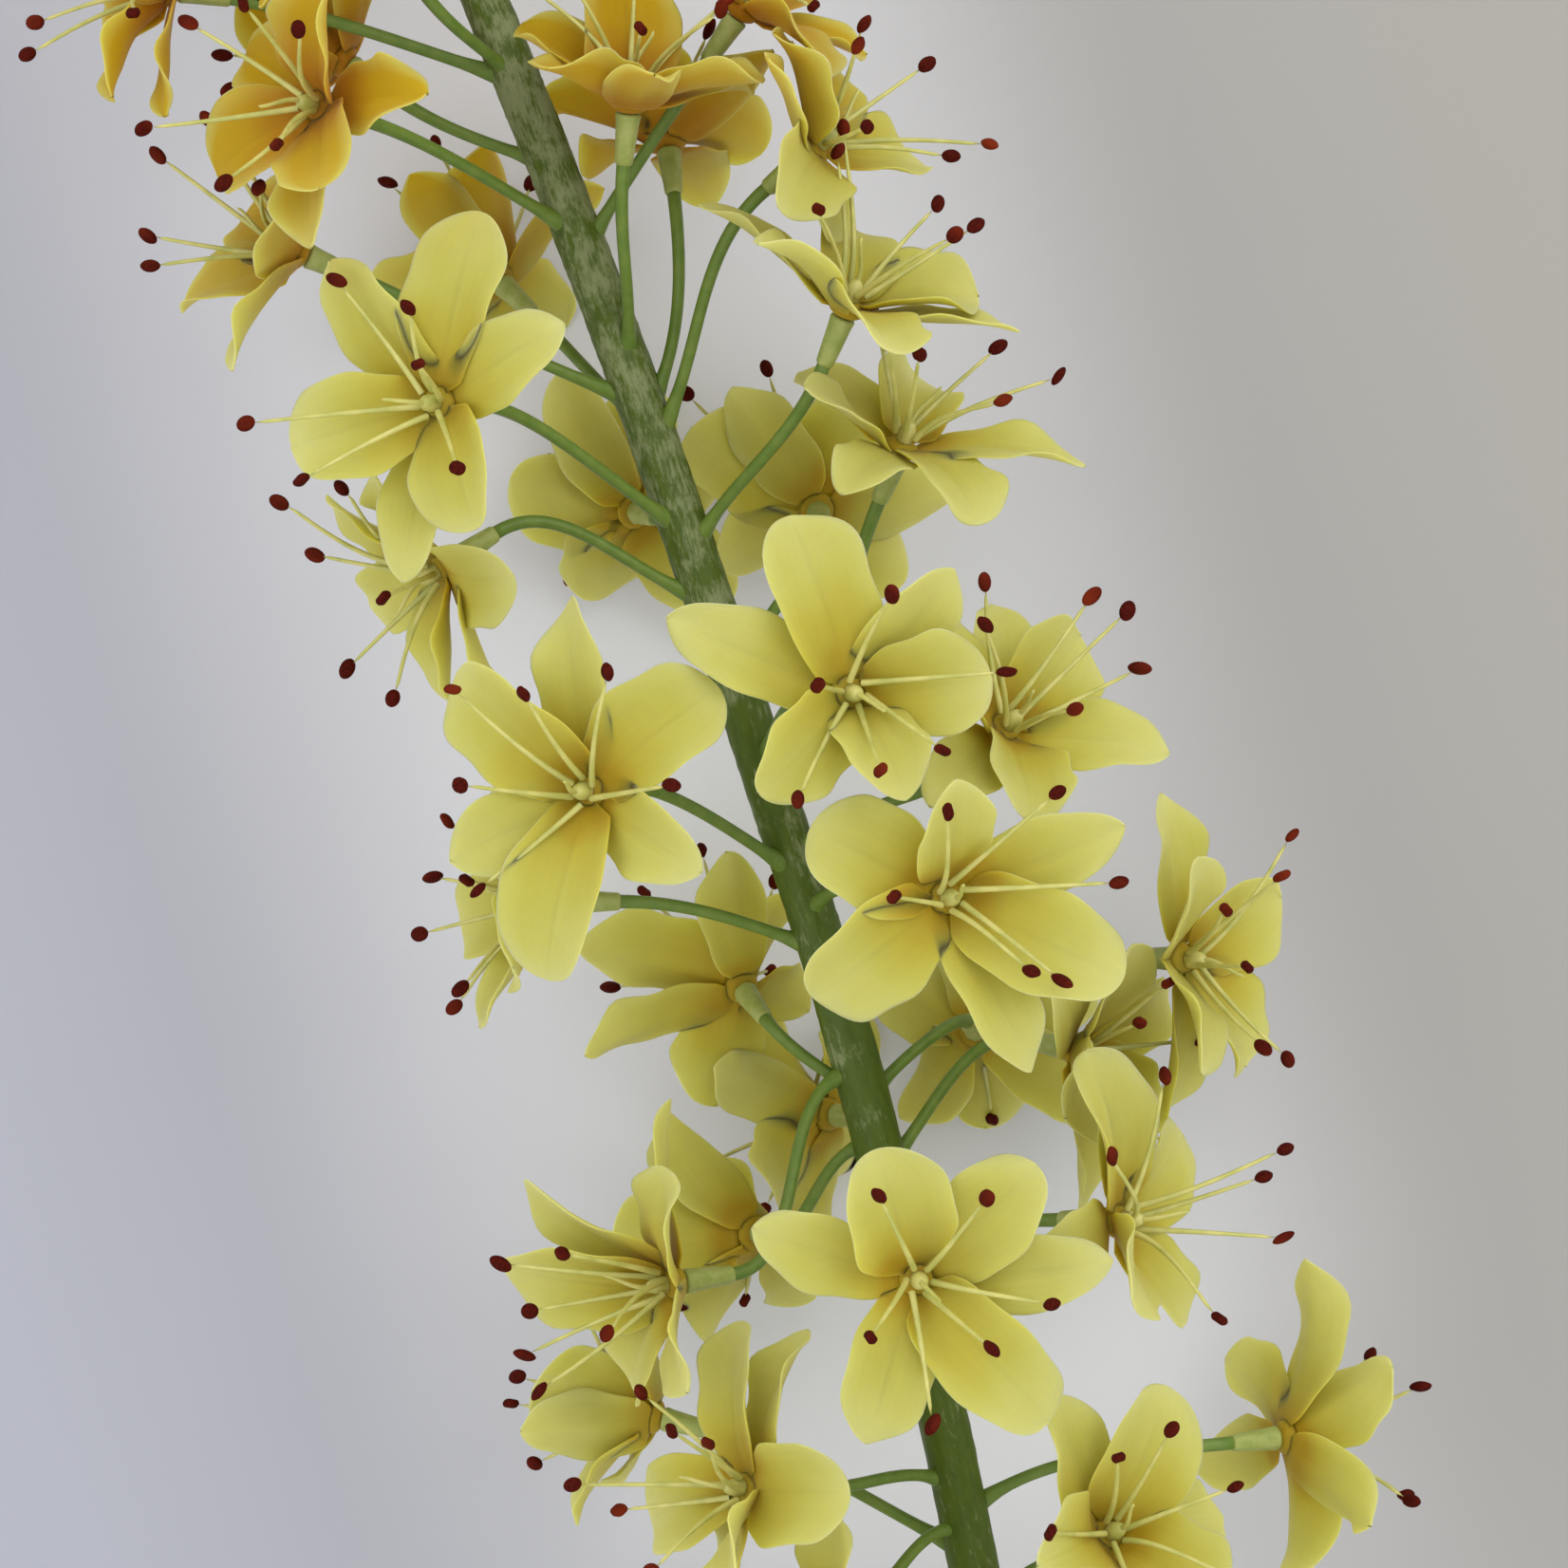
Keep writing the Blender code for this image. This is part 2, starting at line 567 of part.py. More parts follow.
SEAT_HEIGHT = {B: 1.25, N: 0.75}
STAMEN_FOOT = np.array([[0.55, 0.20, 0.25], [0.20, 0.55, 0.25], [0.20, 0.20, 0.60]])
BROAD_SHAPE = ((0.0, 0.1, 0.38, 0.6, 0.8, 0.92, 1.0), (0.1, 0.3, 0.86, 1.0, 0.93, 0.68, 0.1))
NARROW_SHAPE = ((0.0, 0.1, 0.38, 0.55, 0.75, 0.9, 1.0), (0.14, 0.4, 0.95, 1.0, 0.78, 0.42, 0.05))
BLADE_ROWS = (0.0, 0.38, 0.76, 1.0)
BLADE_COLUMNS = ((0, 2), (0, 1, 2), (0, 1, 2), (1,))


def tepal_box(kind, draw, k, slot, turn, opening, length):
    """A tepal's own numbers: where it goes, its size, curl, cup and waves."""
    broad = kind == B
    return {
        "kind": kind, "k": k, "slot": slot, "turn": turn, "opening": opening, "length": length,
        "width": (BROAD_WIDTH if broad else NARROW_WIDTH) * draw.uniform(0.92, 1.08),
        "shape": BROAD_SHAPE if broad else NARROW_SHAPE,
        "curl": math.radians(draw.uniform(15, 55)),
        "cup": draw.uniform(0.12, 0.34),
        "roll": draw.uniform(-0.35, 0.35),
        "wave": draw.uniform(0.3, 1.1),
        "phase": draw.uniform(0, 6.28),
    }


def best_slots(turns, starts):
    """Six even slots that keep the given turns in order with the least turning."""
    best = None
    for start in starts:
        order = sorted(range(len(turns)),
                       key=lambda i: (turns[i] - start + math.pi / 6) % (2 * math.pi))
        for chosen in itertools.combinations(range(6), len(turns)):
            off = [abs(math.remainder(turns[i] - start - k * math.pi / 3, 2 * math.pi))
                   for i, k in zip(order, chosen)]
            cost = sum(value ** 2 for value in off)
            if best is None or cost < best[0] - 1e-9:
                best = (cost, start, dict(zip(chosen, order)))
    return best[1], best[2]


def plan_floret(row, number):
    """Where a floret's middle, tepals and stamens go before any is bent clear."""
    name, root, x, y, depth, facing, tips, anthers = row
    draw = random.Random(500 + number)
    floret = {"name": name, "root": root, "middle": spot(x, y, depth), "facing": aim(facing)}
    floret["side"], floret["other"] = across(floret["facing"])
    size = 1.0 if y > -100 else 0.88
    opening = math.radians(68)
    given = []
    for kind, tip_x, tip_y in tips:
        length = (BROAD_LENGTH if kind == B else NARROW_LENGTH) * size
        start = floret["middle"] + floret["facing"] * 0.9
        way = tip_of(start, tip_x, tip_y, length, floret["facing"], opening)
        turn, angle, reach = polar(way, floret["facing"], floret["side"], floret["other"])
        angle = max(math.radians(34), min(math.radians(104), angle))
        given.append((kind, turn, angle, min(reach, 17.5) - 1.2))
    begin = draw.uniform(0, 1.0)
    starts = [math.radians(5 * k) for k in range(12)] if given else [begin]
    start, taken = best_slots([item[1] for item in given], starts)
    floret["start"] = start
    even = sum(1 if (given[i][0] == B) == (k % 2 == 0) else -1 for k, i in taken.items()) >= 0
    shown, unseen = [], []
    for k in range(6):
        slot = start + k * math.pi / 3
        item = given[taken[k]] if k in taken else None
        if item is None:
            kind = B if (k % 2 == 0) == even else N
            turn = slot + draw.uniform(-0.12, 0.12)
            angle = opening + math.radians(draw.uniform(-4, 6) + (8 if kind == N else -4))
            length = (BROAD_LENGTH if kind == B else NARROW_LENGTH) * draw.uniform(0.93, 1.05)
            unseen.append(tepal_box(kind, draw, k, slot, turn, angle, length * size - 1.2))
        else:
            kind, turn, angle, length = item
            shown.append(tepal_box(kind, draw, k, slot, turn, angle, length))
    floret["tepals"] = shown + unseen
    floret["kinds"] = {piece["k"]: piece["kind"] for piece in floret["tepals"]}
    given = []
    spread = math.radians(42)
    for tip_x, tip_y in anthers:
        base = floret["middle"] + floret["facing"] * 2.0
        way = tip_of(base, tip_x, tip_y, FILAMENT_LENGTH, floret["facing"], spread)
        turn, angle, reach = polar(way, floret["facing"], floret["side"], floret["other"])
        angle = max(math.radians(28), min(math.radians(72), angle))
        given.append((turn, angle, max(8.0, min(reach, 15.0))))
    _, taken = best_slots([item[0] for item in given], [start])
    floret["stamens"] = []
    for k in range(6):
        slot = start + k * math.pi / 3
        item = (slot + draw.uniform(-0.2, 0.2), spread + draw.uniform(-0.2, 0.3),
                FILAMENT_LENGTH * draw.uniform(0.88, 1.05) * size)
        if k in taken:
            item = given[taken[k]]
        floret["stamens"].append({"k": k, "slot": slot, "turn": item[0], "opening": item[1],
                                  "length": item[2], "sag": draw.uniform(0.3, 1.2)})
    floret["unseen"] = not anthers
    return floret


def bends():
    """Small changes of turn, opening and length, the least first."""
    steps = []
    for turn in (0, 7, -7, 14, -14, 21, -21, 28, -28, 36, -36):
        for opening in (0, 8, -8, 16, -16, 25, -25, 36, -36, 48, -48):
            for shrink in (1.0, 0.88, 0.75, 0.6, 0.45):
                cost = abs(turn) / 8 + abs(opening) / 9 + (1 - shrink) * 22
                steps.append((cost, math.radians(turn), math.radians(opening), shrink))
    return sorted(steps, key=lambda s: s[0])


def bent(piece, step):
    """A tepal or stamen with one bend applied, no further round than its neighbour."""
    changed = dict(piece)
    off = math.remainder(piece["turn"] + step[1] - piece["slot"], 2 * math.pi)
    changed["turn"] = piece["slot"] + max(-MOST_TURN, min(MOST_TURN, off))
    changed["opening"] = max(0.15, piece["opening"] + step[2])
    changed["length"] = piece["length"] * step[3]
    return changed


def roomy(floret, tepal):
    """A tepal's blade with the clearance all round it."""
    wide = dict(tepal, width=tepal["width"] + 2 * CLEARANCE, length=tepal["length"] + CLEARANCE)
    return blade(floret, wide, TEPAL_THICKNESS + 2 * CLEARANCE, FREE)[:2]


def plain(floret, tepal):
    return blade(floret, tepal, TEPAL_THICKNESS, 0.0)[:2]


def clear_of(solid, trees):
    probe = tree([solid])
    return not any(probe.overlap(other) for other in trees)


def clear_florets(florets, line):
    """Bends tepals and stamens until no floret crosses another, a pedicel or a bud."""
    points, radii, _ = line
    fixed = [tree([tube(points, radii, STEM_SIDES)])]
    for floret in florets:
        points, radii = pedicel_line(floret, line, 4)
        fixed.append(tree([tube(points, radii, PEDICEL_SIDES)]))
    fixed += [tree([spindle(points, radii, 5)]) for points, radii in bud_lines(line)]
    hubs = {floret["name"]: tree([hub_solid(floret, CLEARANCE)]) for floret in florets}
    placed = []
    steps = bends()
    for floret in sorted(florets, key=lambda item: -item["middle"][2]):
        others = fixed + [hubs[name] for name in hubs if name != floret["name"]] + placed
        core = [tree([core_solid(floret, True)])]
        own, tepals, stamens = [], [], []
        for piece in floret["tepals"]:
            found = None
            for step in steps:
                trial = bent(piece, step)
                if not clear_of(roomy(floret, trial), others):
                    continue
                if (clear_of(blade(floret, trial, TEPAL_THICKNESS + 0.1, 0.0)[:2], own)
                        and clear_of(blade(floret, trial, TEPAL_THICKNESS, FREE)[:2], core)):
                    found = trial
                    break
            if found is not None:
                tepals.append(found)
                own.append(tree([plain(floret, found)]))
        for piece in floret["stamens"]:
            straight = dict(piece, turn=piece["slot"], opening=0.7, length=9.5)
            for trial in [bent(piece, step) for step in steps] + [bent(straight, step) for step in steps]:
                if stamen_line(floret, trial, 2)[3][2] < 2 * ANTHER_RADIUS:
                    continue
                if (clear_of(stamen_skin(floret, trial, CLEARANCE, FREE), others)
                        and clear_of(stamen_skin(floret, trial, 0.05, 0.0), own)
                        and clear_of(stamen_skin(floret, trial, 0.0, FREE), core)):
                    stamens.append(trial)
                    own.append(tree([stamen_skin(floret, trial, 0.0, 0.0)]))
                    break
        floret["tepals"], floret["stamens"] = tepals, stamens
        placed += [tree([plain(floret, piece)]) for piece in tepals]
        placed += [tree([stamen_skin(floret, piece, 0.0, 0.0)]) for piece in stamens]


def solid_object(name, solid, collection):
    """A mesh object in metres from vertices and faces in millimetres."""
    vertices, faces = solid
    shift = np.array([ORIGIN[0], ORIGIN[1], 0.0])
    mesh = bpy.data.meshes.new(name)
    mesh.from_pydata([tuple((np.asarray(v) - shift) / 1000) for v in vertices], [], faces)
    work = bmesh.new()
    work.from_mesh(mesh)
    bmesh.ops.recalc_face_normals(work, faces=work.faces)
    bmesh.ops.triangulate(work, faces=work.faces)
    if work.calc_volume(signed=True) < 0:
        bmesh.ops.reverse_faces(work, faces=work.faces)
    work.to_mesh(mesh)
    work.free()
    item = bpy.data.objects.new(name, mesh)
    collection.objects.link(item)
    return item


def drop_scraps(work):
    """Leaves only the body with the most faces."""
    left, bodies = set(work.faces), []
    while left:
        body, edge = set(), [next(iter(left))]
        while edge:
            face = edge.pop()
            if face in left:
                left.discard(face)
                body.add(face)
                edge += [other for line in face.edges for other in line.link_faces]
        bodies.append(body)
    bodies.sort(key=len)
    for body in bodies[:-1]:
        bmesh.ops.delete(work, geom=list(body), context="FACES")


def union(name, solids, solver):
    """A mesh that joins a first solid and a collection of others by one union."""
    scene = bpy.context.scene.collection
    parts = bpy.data.collections.new(name + "_parts")
    scene.children.link(parts)
    body = solid_object(name, solids[0], scene)
    for i, solid in enumerate(solids[1:]):
        solid_object(f"{name}_{i}", solid, parts)
    join = body.modifiers.new("union", "BOOLEAN")
    join.operation = "UNION"
    join.operand_type = "COLLECTION"
    join.collection = parts
    join.solver = solver
    bpy.context.view_layer.update()
    graph = bpy.context.evaluated_depsgraph_get()
    joined = bpy.data.meshes.new_from_object(body.evaluated_get(graph))
    for item in list(parts.objects) + [body]:
        mesh = item.data
        bpy.data.objects.remove(item)
        bpy.data.meshes.remove(mesh)
    bpy.data.collections.remove(parts)
    return joined


def fuse(name, solids, material):
    """One closed body named after its node, from solids that cross or stand apart."""
    for solver in ("EXACT", "MANIFOLD"):
        mesh = union(name, solids, solver)
        work = bmesh.new()
        work.from_mesh(mesh)
        bmesh.ops.remove_doubles(work, verts=work.verts, dist=MERGE_DISTANCE)
        drop_scraps(work)
        bmesh.ops.triangulate(work, faces=work.faces)
        for face in work.faces:
            face.smooth = True
        closed = all(edge.is_manifold for edge in work.edges)
        work.to_mesh(mesh)
        work.free()
        if closed:
            break
    else:
        raise RuntimeError(name + " is not closed")
    mesh.name = name
    mesh.materials.clear()
    mesh.materials.append(material)
    body = bpy.data.objects.new(name, mesh)
    bpy.context.scene.collection.objects.link(body)
    return body


def principled(name, colour, roughness):
    material = bpy.data.materials.new(name)
    material.use_nodes = True
    shader = material.node_tree.nodes["Principled BSDF"]
    shader.inputs["Base Color"].default_value = (*colour, 1.0)
    shader.inputs["Roughness"].default_value = roughness
    return material


def main():
    for item in list(bpy.data.objects):
        bpy.data.objects.remove(item, do_unlink=True)
    green = principled("Stem green", (0.115, 0.205, 0.035), 0.7)
    yellow = principled("Tepal yellow", (0.56, 0.47, 0.06), 0.8)
    gold = principled("Tepal gold", (0.57, 0.36, 0.03), 0.8)

    line = stem_line(STEM_STEPS)
    florets = [plan_floret(row, i) for i, row in enumerate(FLORETS)]
    clear_florets(florets, line)

    points, radii, _ = line
    solids = [tube(points, radii, STEM_SIDES)]
    for floret in florets:
        points, radii = pedicel_line(floret, line, 4)
        solids.append(tube(points, radii, PEDICEL_SIDES))
    solids += [spindle(points, radii, 5) for points, radii in bud_lines(line)]
    fuse("flower_stem", solids, green)

    for floret in florets:
        high = floret["middle"] @ UP > spot(0, 300, 0) @ UP
        body = solid_object("floret_" + floret["name"], core_solid(floret),
                            bpy.context.scene.collection)
        body.data.materials.append(gold if high else yellow)
        body.data.shade_smooth()


main()
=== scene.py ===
"""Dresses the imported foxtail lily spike: petals, stamens, stem, stalks and buds, with its stage.

Each fine piece follows the same plan as the solid that it replaces. Picture positions are in
the photograph's pixels, 11 to the millimetre at the stem, and depths are in millimetres over
the stem. Shapes are worked out in millimetres and turned to metres when a piece is finished.
"""

import itertools
import json
import math
import random

import bmesh
import bpy
import numpy as np
from mathutils import Matrix, Vector, noise
from mathutils.kdtree import KDTree


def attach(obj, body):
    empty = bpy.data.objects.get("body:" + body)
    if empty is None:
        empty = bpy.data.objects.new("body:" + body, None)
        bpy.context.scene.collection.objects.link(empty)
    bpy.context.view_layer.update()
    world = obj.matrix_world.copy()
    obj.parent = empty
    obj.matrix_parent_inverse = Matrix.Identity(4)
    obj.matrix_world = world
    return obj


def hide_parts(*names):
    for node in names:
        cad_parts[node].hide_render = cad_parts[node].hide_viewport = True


bl_info = {
    "name": "Foxtail Lily Spike",
    "version": (1, 0, 0),
    "blender": (4, 5, 0),
    "location": "View3D > Sidebar > Foxtail Lily",
    "description": "Builds the fine florets, stem and buds of a cut foxtail lily spike",
    "category": "Object",
}

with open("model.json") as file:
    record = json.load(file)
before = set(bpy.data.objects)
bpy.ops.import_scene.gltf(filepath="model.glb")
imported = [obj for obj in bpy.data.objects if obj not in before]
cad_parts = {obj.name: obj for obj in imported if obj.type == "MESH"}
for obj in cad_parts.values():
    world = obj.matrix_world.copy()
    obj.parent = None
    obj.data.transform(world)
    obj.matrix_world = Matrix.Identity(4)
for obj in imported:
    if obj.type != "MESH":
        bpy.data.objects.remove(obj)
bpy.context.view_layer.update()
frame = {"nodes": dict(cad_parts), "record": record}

# The picture and the frame, in millimetres but for the pixels
PX_PER_MM = 11.0
PICTURE_MIDDLE = 826.0
EYE_HEIGHT = 480.0
SENSOR_WIDTH = 36.0
PICTURE_ROLL = math.radians(-107.0)
AXIS_HEIGHT = 26.0
ORIGIN = (-34.5, 1.4)
RIGHT = np.array([math.cos(PICTURE_ROLL), math.sin(PICTURE_ROLL), 0.0])
UP = np.array([-math.sin(PICTURE_ROLL), math.cos(PICTURE_ROLL), 0.0])
NEAR = np.array([0.0, 0.0, 1.0])

# The stage, in metres
LAMP_SIZE, LAMP_REACH, FLOOR_RADIUS = 1.1, 1.3, 3.0

# The stem: picture x, picture y, depth and radius from the cut end to the tip
STEM = (
    (1367, 3490, -23.0, 3.00),
    (1195, 2600, -12.0, 2.75),
    (1026, 1652, -1.0, 2.45),
    (910, 1150, 0.0, 2.40),
    (802, 800, 0.0, 2.40),
    (684, 450, 0.0, 2.35),
    (591, 200, 0.0, 2.30),
    (511, 0, 0.0, 2.20),
    (305, -520, -1.0, 1.60),
    (69, -1071, -6.0, 0.60),
)

# Sizes that the solids share, in millimetres
SLEEVE_LENGTH = 4.5
SEAT_GAP = 0.30
BROAD_LENGTH = 13.0
BROAD_WIDTH = 8.7
NARROW_LENGTH = 14.5
NARROW_WIDTH = 7.0
LONGEST_TEPAL = 17.5
TEPAL_THICKNESS = 0.60
CORE_RADIUS = 1.55
FILAMENT_LENGTH = 11.0
STAMEN_REACH = (8.0, 15.0)
ANTHER_RADIUS = 0.80
ANTHER_LENGTH = 2.40
# How much of a tepal's length the core hides
FOOT_LENGTH = 1.2

# Angles that the solids share: openings are measured from a floret's axis
TEPAL_OPENING = math.radians(68)
TEPAL_RANGE = (math.radians(34), math.radians(104))
STAMEN_OPENING = math.radians(42)
STAMEN_RANGE = (math.radians(28), math.radians(72))
MOST_TURN = math.radians(42)
SIXTH = math.pi / 3

# The tip: the size of its florets, the picture rows of its buds and their size
TIP_SIZE = 0.88
BUD_COUNT = 38
BUD_FIRST_Y = -330
BUD_LAST_Y = -1045
BUD_LENGTH = 9.0
BUD_GIRTH = 2.4
GOLDEN_ANGLE = math.radians(137.5)

# Fine forms that the solids lack, in millimetres but for the ribs' number
CREASE_WIDTH = 0.8
VEIN_GAP = 0.882
RIBS = 6

# How far a trial bend may miss its solid, and how near is near enough
TEPAL_MISS, STAMEN_MISS, NEAR_ENOUGH = 0.6, 0.3, 0.01

# Columns round and rows along the skins of a petal and of the stem
PETAL_GRID = (24, 26)
STEM_COLUMNS, STEM_STEPS = 40, 44

FLORET_SEED, DETAIL_SEED, BUD_SEED, STEM_SEED = 500, 900, 7, 11

# Broad tepals are the inner ones, so they sit higher over the floret's middle
B, N = "broad", "narrow"
SEAT_HEIGHT = {B: 1.25, N: 0.75}

# Each floret: name, picture y of its root on the stem, picture x and y and depth of
# its middle, the way it faces as right, up and near, the tepal tips that the picture
# shows (broad or narrow, x, y) and the anthers that it shows (x, y).
FLORETS = (
    ("01", 78, 190, -10, 6, (-0.9, 0.1, 0.3),
     ((B, 118, 95), (N, 170, 125)),
     ((57, 15), (48, 40), (178, 12))),
    ("02", 237, 345, 115, 19, (-0.6, 0.1, 0.75),
     ((B, 345, -20), (N, 262, 55), (B, 235, 185), (N, 330, 255), (B, 400, 230), (N, 425, 100)),
     ((220, 40), (247, 60), (178, 130))),
    ("03", 165, 370, 70, -2, (-0.7, 0.5, -0.1), (), ()),
    ("04", 415, 325, 270, 4, (-0.85, 0.35, 0.3),
     ((N, 190, 303), (B, 258, 232), (N, 235, 262), (B, 292, 220)),
     ((178, 252), (195, 153), (195, 190), (228, 147), (262, 205))),
    ("05", 440, 530, 300, -14, (-0.6, 0.6, -0.45),
     ((N, 430, 180), (B, 545, 165), (B, 598, 345)),
     ((463, 175),)),
    ("06", 612, 672, 540, -13, (-0.35, 0.15, -0.85),
     ((B, 537, 538), (N, 590, 395), (B, 632, 625), (N, 768, 485)), ()),
    ("07", 375, 662, 120, 13, (0.1, 0.9, 0.3),
     ((B, 555, 25), (B, 800, 85), (N, 690, 70)),
     ((672, 40), (739, 22))),
    ("08", 430, 705, 160, -4, (-0.1, 0.85, -0.4),
     ((B, 575, 108), (N, 640, 205), (N, 745, 195), (B, 795, 165)), ()),
    ("09", 258, 775, 20, 6, (0.5, 0.7, 0.2),
     ((B, 830, 130),),
     ((739, 22), (832, 18))),
    ("10", 550, 470, 425, 21, (-0.5, -0.05, 0.85),
     ((B, 490, 212), (N, 590, 340), (N, 350, 275), (B, 310, 470), (B, 510, 560), (N, 425, 610)),
     ((378, 313), (423, 398), (287, 443), (327, 469))),
    ("11", 575, 888, 335, 13, (0.35, 0.85, 0.3),
     ((N, 742, 213), (N, 1072, 342), (B, 900, 240), (B, 930, 370)),
     ((896, 158), (893, 183), (1003, 245), (990, 255))),
    ("12", 460, 848, 165, 10, (0.7, 0.55, 0.3),
     ((B, 865, 80), (B, 968, 168), (N, 975, 222)),
     ((903, 67), (940, 83), (963, 78), (1018, 150))),
    ("13", 625, 478, 590, 6, (-0.75, -0.5, 0.2),
     ((N, 385, 642), (B, 463, 733), (B, 550, 605)),
     ((328, 522), (343, 558), (372, 520), (373, 683))),
    ("14", 835, 945, 482, 6, (0.33, 0.8, 0.42),
     ((N, 1142, 487), (B, 1038, 555), (B, 960, 397), (N, 848, 395)),
     ((968, 383), (1038, 383), (1090, 404), (947, 380))),
    ("15", 700, 862, 540, -4, (-0.1, 0.3, -0.9),
     ((N, 772, 408), (B, 722, 465), (N, 760, 590), (B, 955, 605), (N, 1000, 520)),
     ((724, 410), (818, 412), (857, 465))),
    ("16", 800, 890, 728, 24, (0.3, -0.1, 0.9),
     ((B, 832, 547), (N, 705, 648), (N, 1008, 622), (B, 1035, 712), (B, 862, 835), (N, 955, 835)),
     ((938, 647), (923, 858), (950, 852), (1050, 718))),
    ("17", 900, 1050, 775, 15, (0.5, 0.5, 0.6),
     ((B, 1133, 668), (N, 1232, 785), (N, 1050, 640), (B, 1080, 860), (N, 985, 850)),
     ((1025, 608), (1058, 635), (1143, 653), (1168, 660), (1170, 711), (1127, 722))),
    ("18", 912, 628, 832, 22, (-0.45, -0.05, 0.88),
     ((B, 487, 708), (N, 600, 633), (B, 762, 728), (N, 735, 915), (B, 577, 1028), (N, 475, 905)),
     ((510, 725), (560, 753), (627, 723), (671, 711), (537, 822), (492, 867))),
    ("19", 992, 600, 950, 4, (-0.9, 0.0, 0.1),
     ((N, 497, 1077), (B, 480, 970)),
     ((447, 958), (473, 935))),
    ("20", 1142, 785, 1045, -6, (-0.4, 0.5, -0.75),
     ((B, 612, 1000), (N, 625, 1122), (B, 755, 1165), (N, 760, 900), (B, 830, 960),
      (N, 845, 1060)),
     ((698, 955), (742, 1008))),
    ("21", 960, 990, 945, 25, (0.35, 0.0, 0.9),
     ((B, 862, 860), (B, 855, 1045), (N, 1093, 1125), (B, 1180, 1035), (N, 1187, 875),
      (N, 1010, 830)),
     ((1075, 1003), (1095, 1020), (1102, 832), (1005, 865), (1058, 865), (1153, 955))),
    ("22", 1155, 1028, 1085, -13, (0.2, -0.2, -0.9),
     ((N, 958, 1178), (B, 1045, 1160)), ()),
    ("23", 1040, 1235, 1010, 0, (0.75, 0.0, 0.62),
     ((N, 1222, 840), (N, 1272, 905), (B, 1305, 1125), (B, 1222, 1200), (N, 1280, 1135)),
     ((1342, 895), (1336, 943), (1340, 1013), (1337, 1100))),
    ("24", 1228, 1125, 1105, -2, (0.5, -0.1, 0.3), (), ()),
    ("25", 1200, 880, 1175, -14, (-0.7, 0.0, -0.6),
     ((B, 765, 1255),), ((851, 1108),)),
    ("26", 1128, 722, 1350, 10, (-0.9, -0.1, 0.35),
     ((N, 562, 1213), (N, 543, 1247), (B, 680, 1210), (B, 522, 1318), (B, 660, 1440)),
     ((555, 1307), (610, 1352), (583, 1375), (560, 1380), (547, 1395), (603, 1418))),
    ("27", 1205, 800, 1300, -7, (-0.45, -0.1, -0.75),
     ((B, 740, 1245), (N, 728, 1345), (B, 772, 1390), (N, 848, 1375)), ()),
    ("28", 1400, 965, 1345, 26, (0.1, -0.05, 0.98),
     ((B, 925, 1215), (N, 798, 1290), (N, 920, 1520), (B, 1090, 1505), (N, 1180, 1325),
      (B, 1090, 1228)),
     ((1025, 1280), (1082, 1370), (1015, 1390), (1003, 1412), (1047, 1450))),
    ("29", 1330, 1165, 1285, 14, (0.85, 0.05, 0.5),
     ((B, 1120, 1112), (N, 1228, 1118), (B, 1195, 1365), (N, 1110, 1335), (B, 1240, 1190)),
     ((1213, 1153), (1172, 1203), (1308, 1246), (1335, 1228), (1330, 1281))),
    ("30", 1557, 800, 1568, 15, (-0.8, 0.1, 0.5),
     ((B, 790, 1395), (N, 848, 1402), (B, 690, 1610), (N, 770, 1660), (B, 900, 1652)),
     ((628, 1567), (673, 1577), (715, 1523), (748, 1523))),
    ("31", 1628, 700, 1495, -6, (-0.9, 0.2, -0.2),
     ((N, 540, 1497), (B, 597, 1480), (N, 650, 1560), (B, 695, 1375)),
     ((590, 1460), (653, 1450), (668, 1475))),
    ("32", 1592, 1345, 1515, -4, (0.9, 0.05, -0.35),
     ((N, 1379, 1330), (B, 1289, 1435), (B, 1467, 1440), (B, 1350, 1655), (N, 1437, 1632),
      (N, 1225, 1542)),
     ((1425, 1517), (1467, 1553), (1428, 1582), (1275, 1545))),
    ("33", 1690, 1160, 1620, 18, (0.45, 0.35, 0.8),
     ((N, 1120, 1470), (B, 1230, 1465), (N, 1285, 1600), (B, 1100, 1650)),
     ((1212, 1568), (1237, 1580))),
    ("34", 1607, 880, 1725, 12, (-0.6, -0.5, 0.5), ((N, 885, 1600),), ()),
    ("35", 75, 410, -60, 12, (-0.5, 0.7, 0.4), (), ()),
    ("36", -20, 660, -190, 8, (0.6, 0.7, 0.3), (), ()),
    ("37", -60, 290, -190, -9, (-0.7, 0.5, -0.2), (), ()),
    ("38", -110, 430, -290, 19, (-0.1, 0.5, 0.85), (), ()),
    ("39", -160, 575, -330, -14, (0.7, 0.5, -0.1), (), ()),
    ("40", -230, 215, -400, 9, (-0.6, 0.7, 0.3), (), ()),
    ("41", 1790, 1310, 1850, 6, (0.9, 0.0, 0.3), (), ()),
    ("42", 1850, 960, 1880, 22, (-0.3, -0.1, 0.9), (), ()),
    ("43", 1800, 800, 1860, -10, (-0.8, 0.1, -0.4), (), ()),
)


def linear(colour):
    """An sRGB hex colour as linear red, green and blue."""
    parts = [int(colour[i:i + 2], 16) / 255 for i in (1, 3, 5)]
    return [p / 12.92 if p <= 0.04045 else ((p + 0.055) / 1.055) ** 2.4 for p in parts]


def tone(name, description, default):
    """A colour that the user can change, from an sRGB hex value."""
    return bpy.props.FloatVectorProperty(
        name=name, description=description, subtype="COLOR", size=3, min=0.0, max=1.0,
        default=linear(default))


def length(name, description, default):
    """A size that the user can change, in metres."""
    return bpy.props.FloatProperty(
        name=name, description=description, default=default, min=0.0, unit="LENGTH", precision=5)


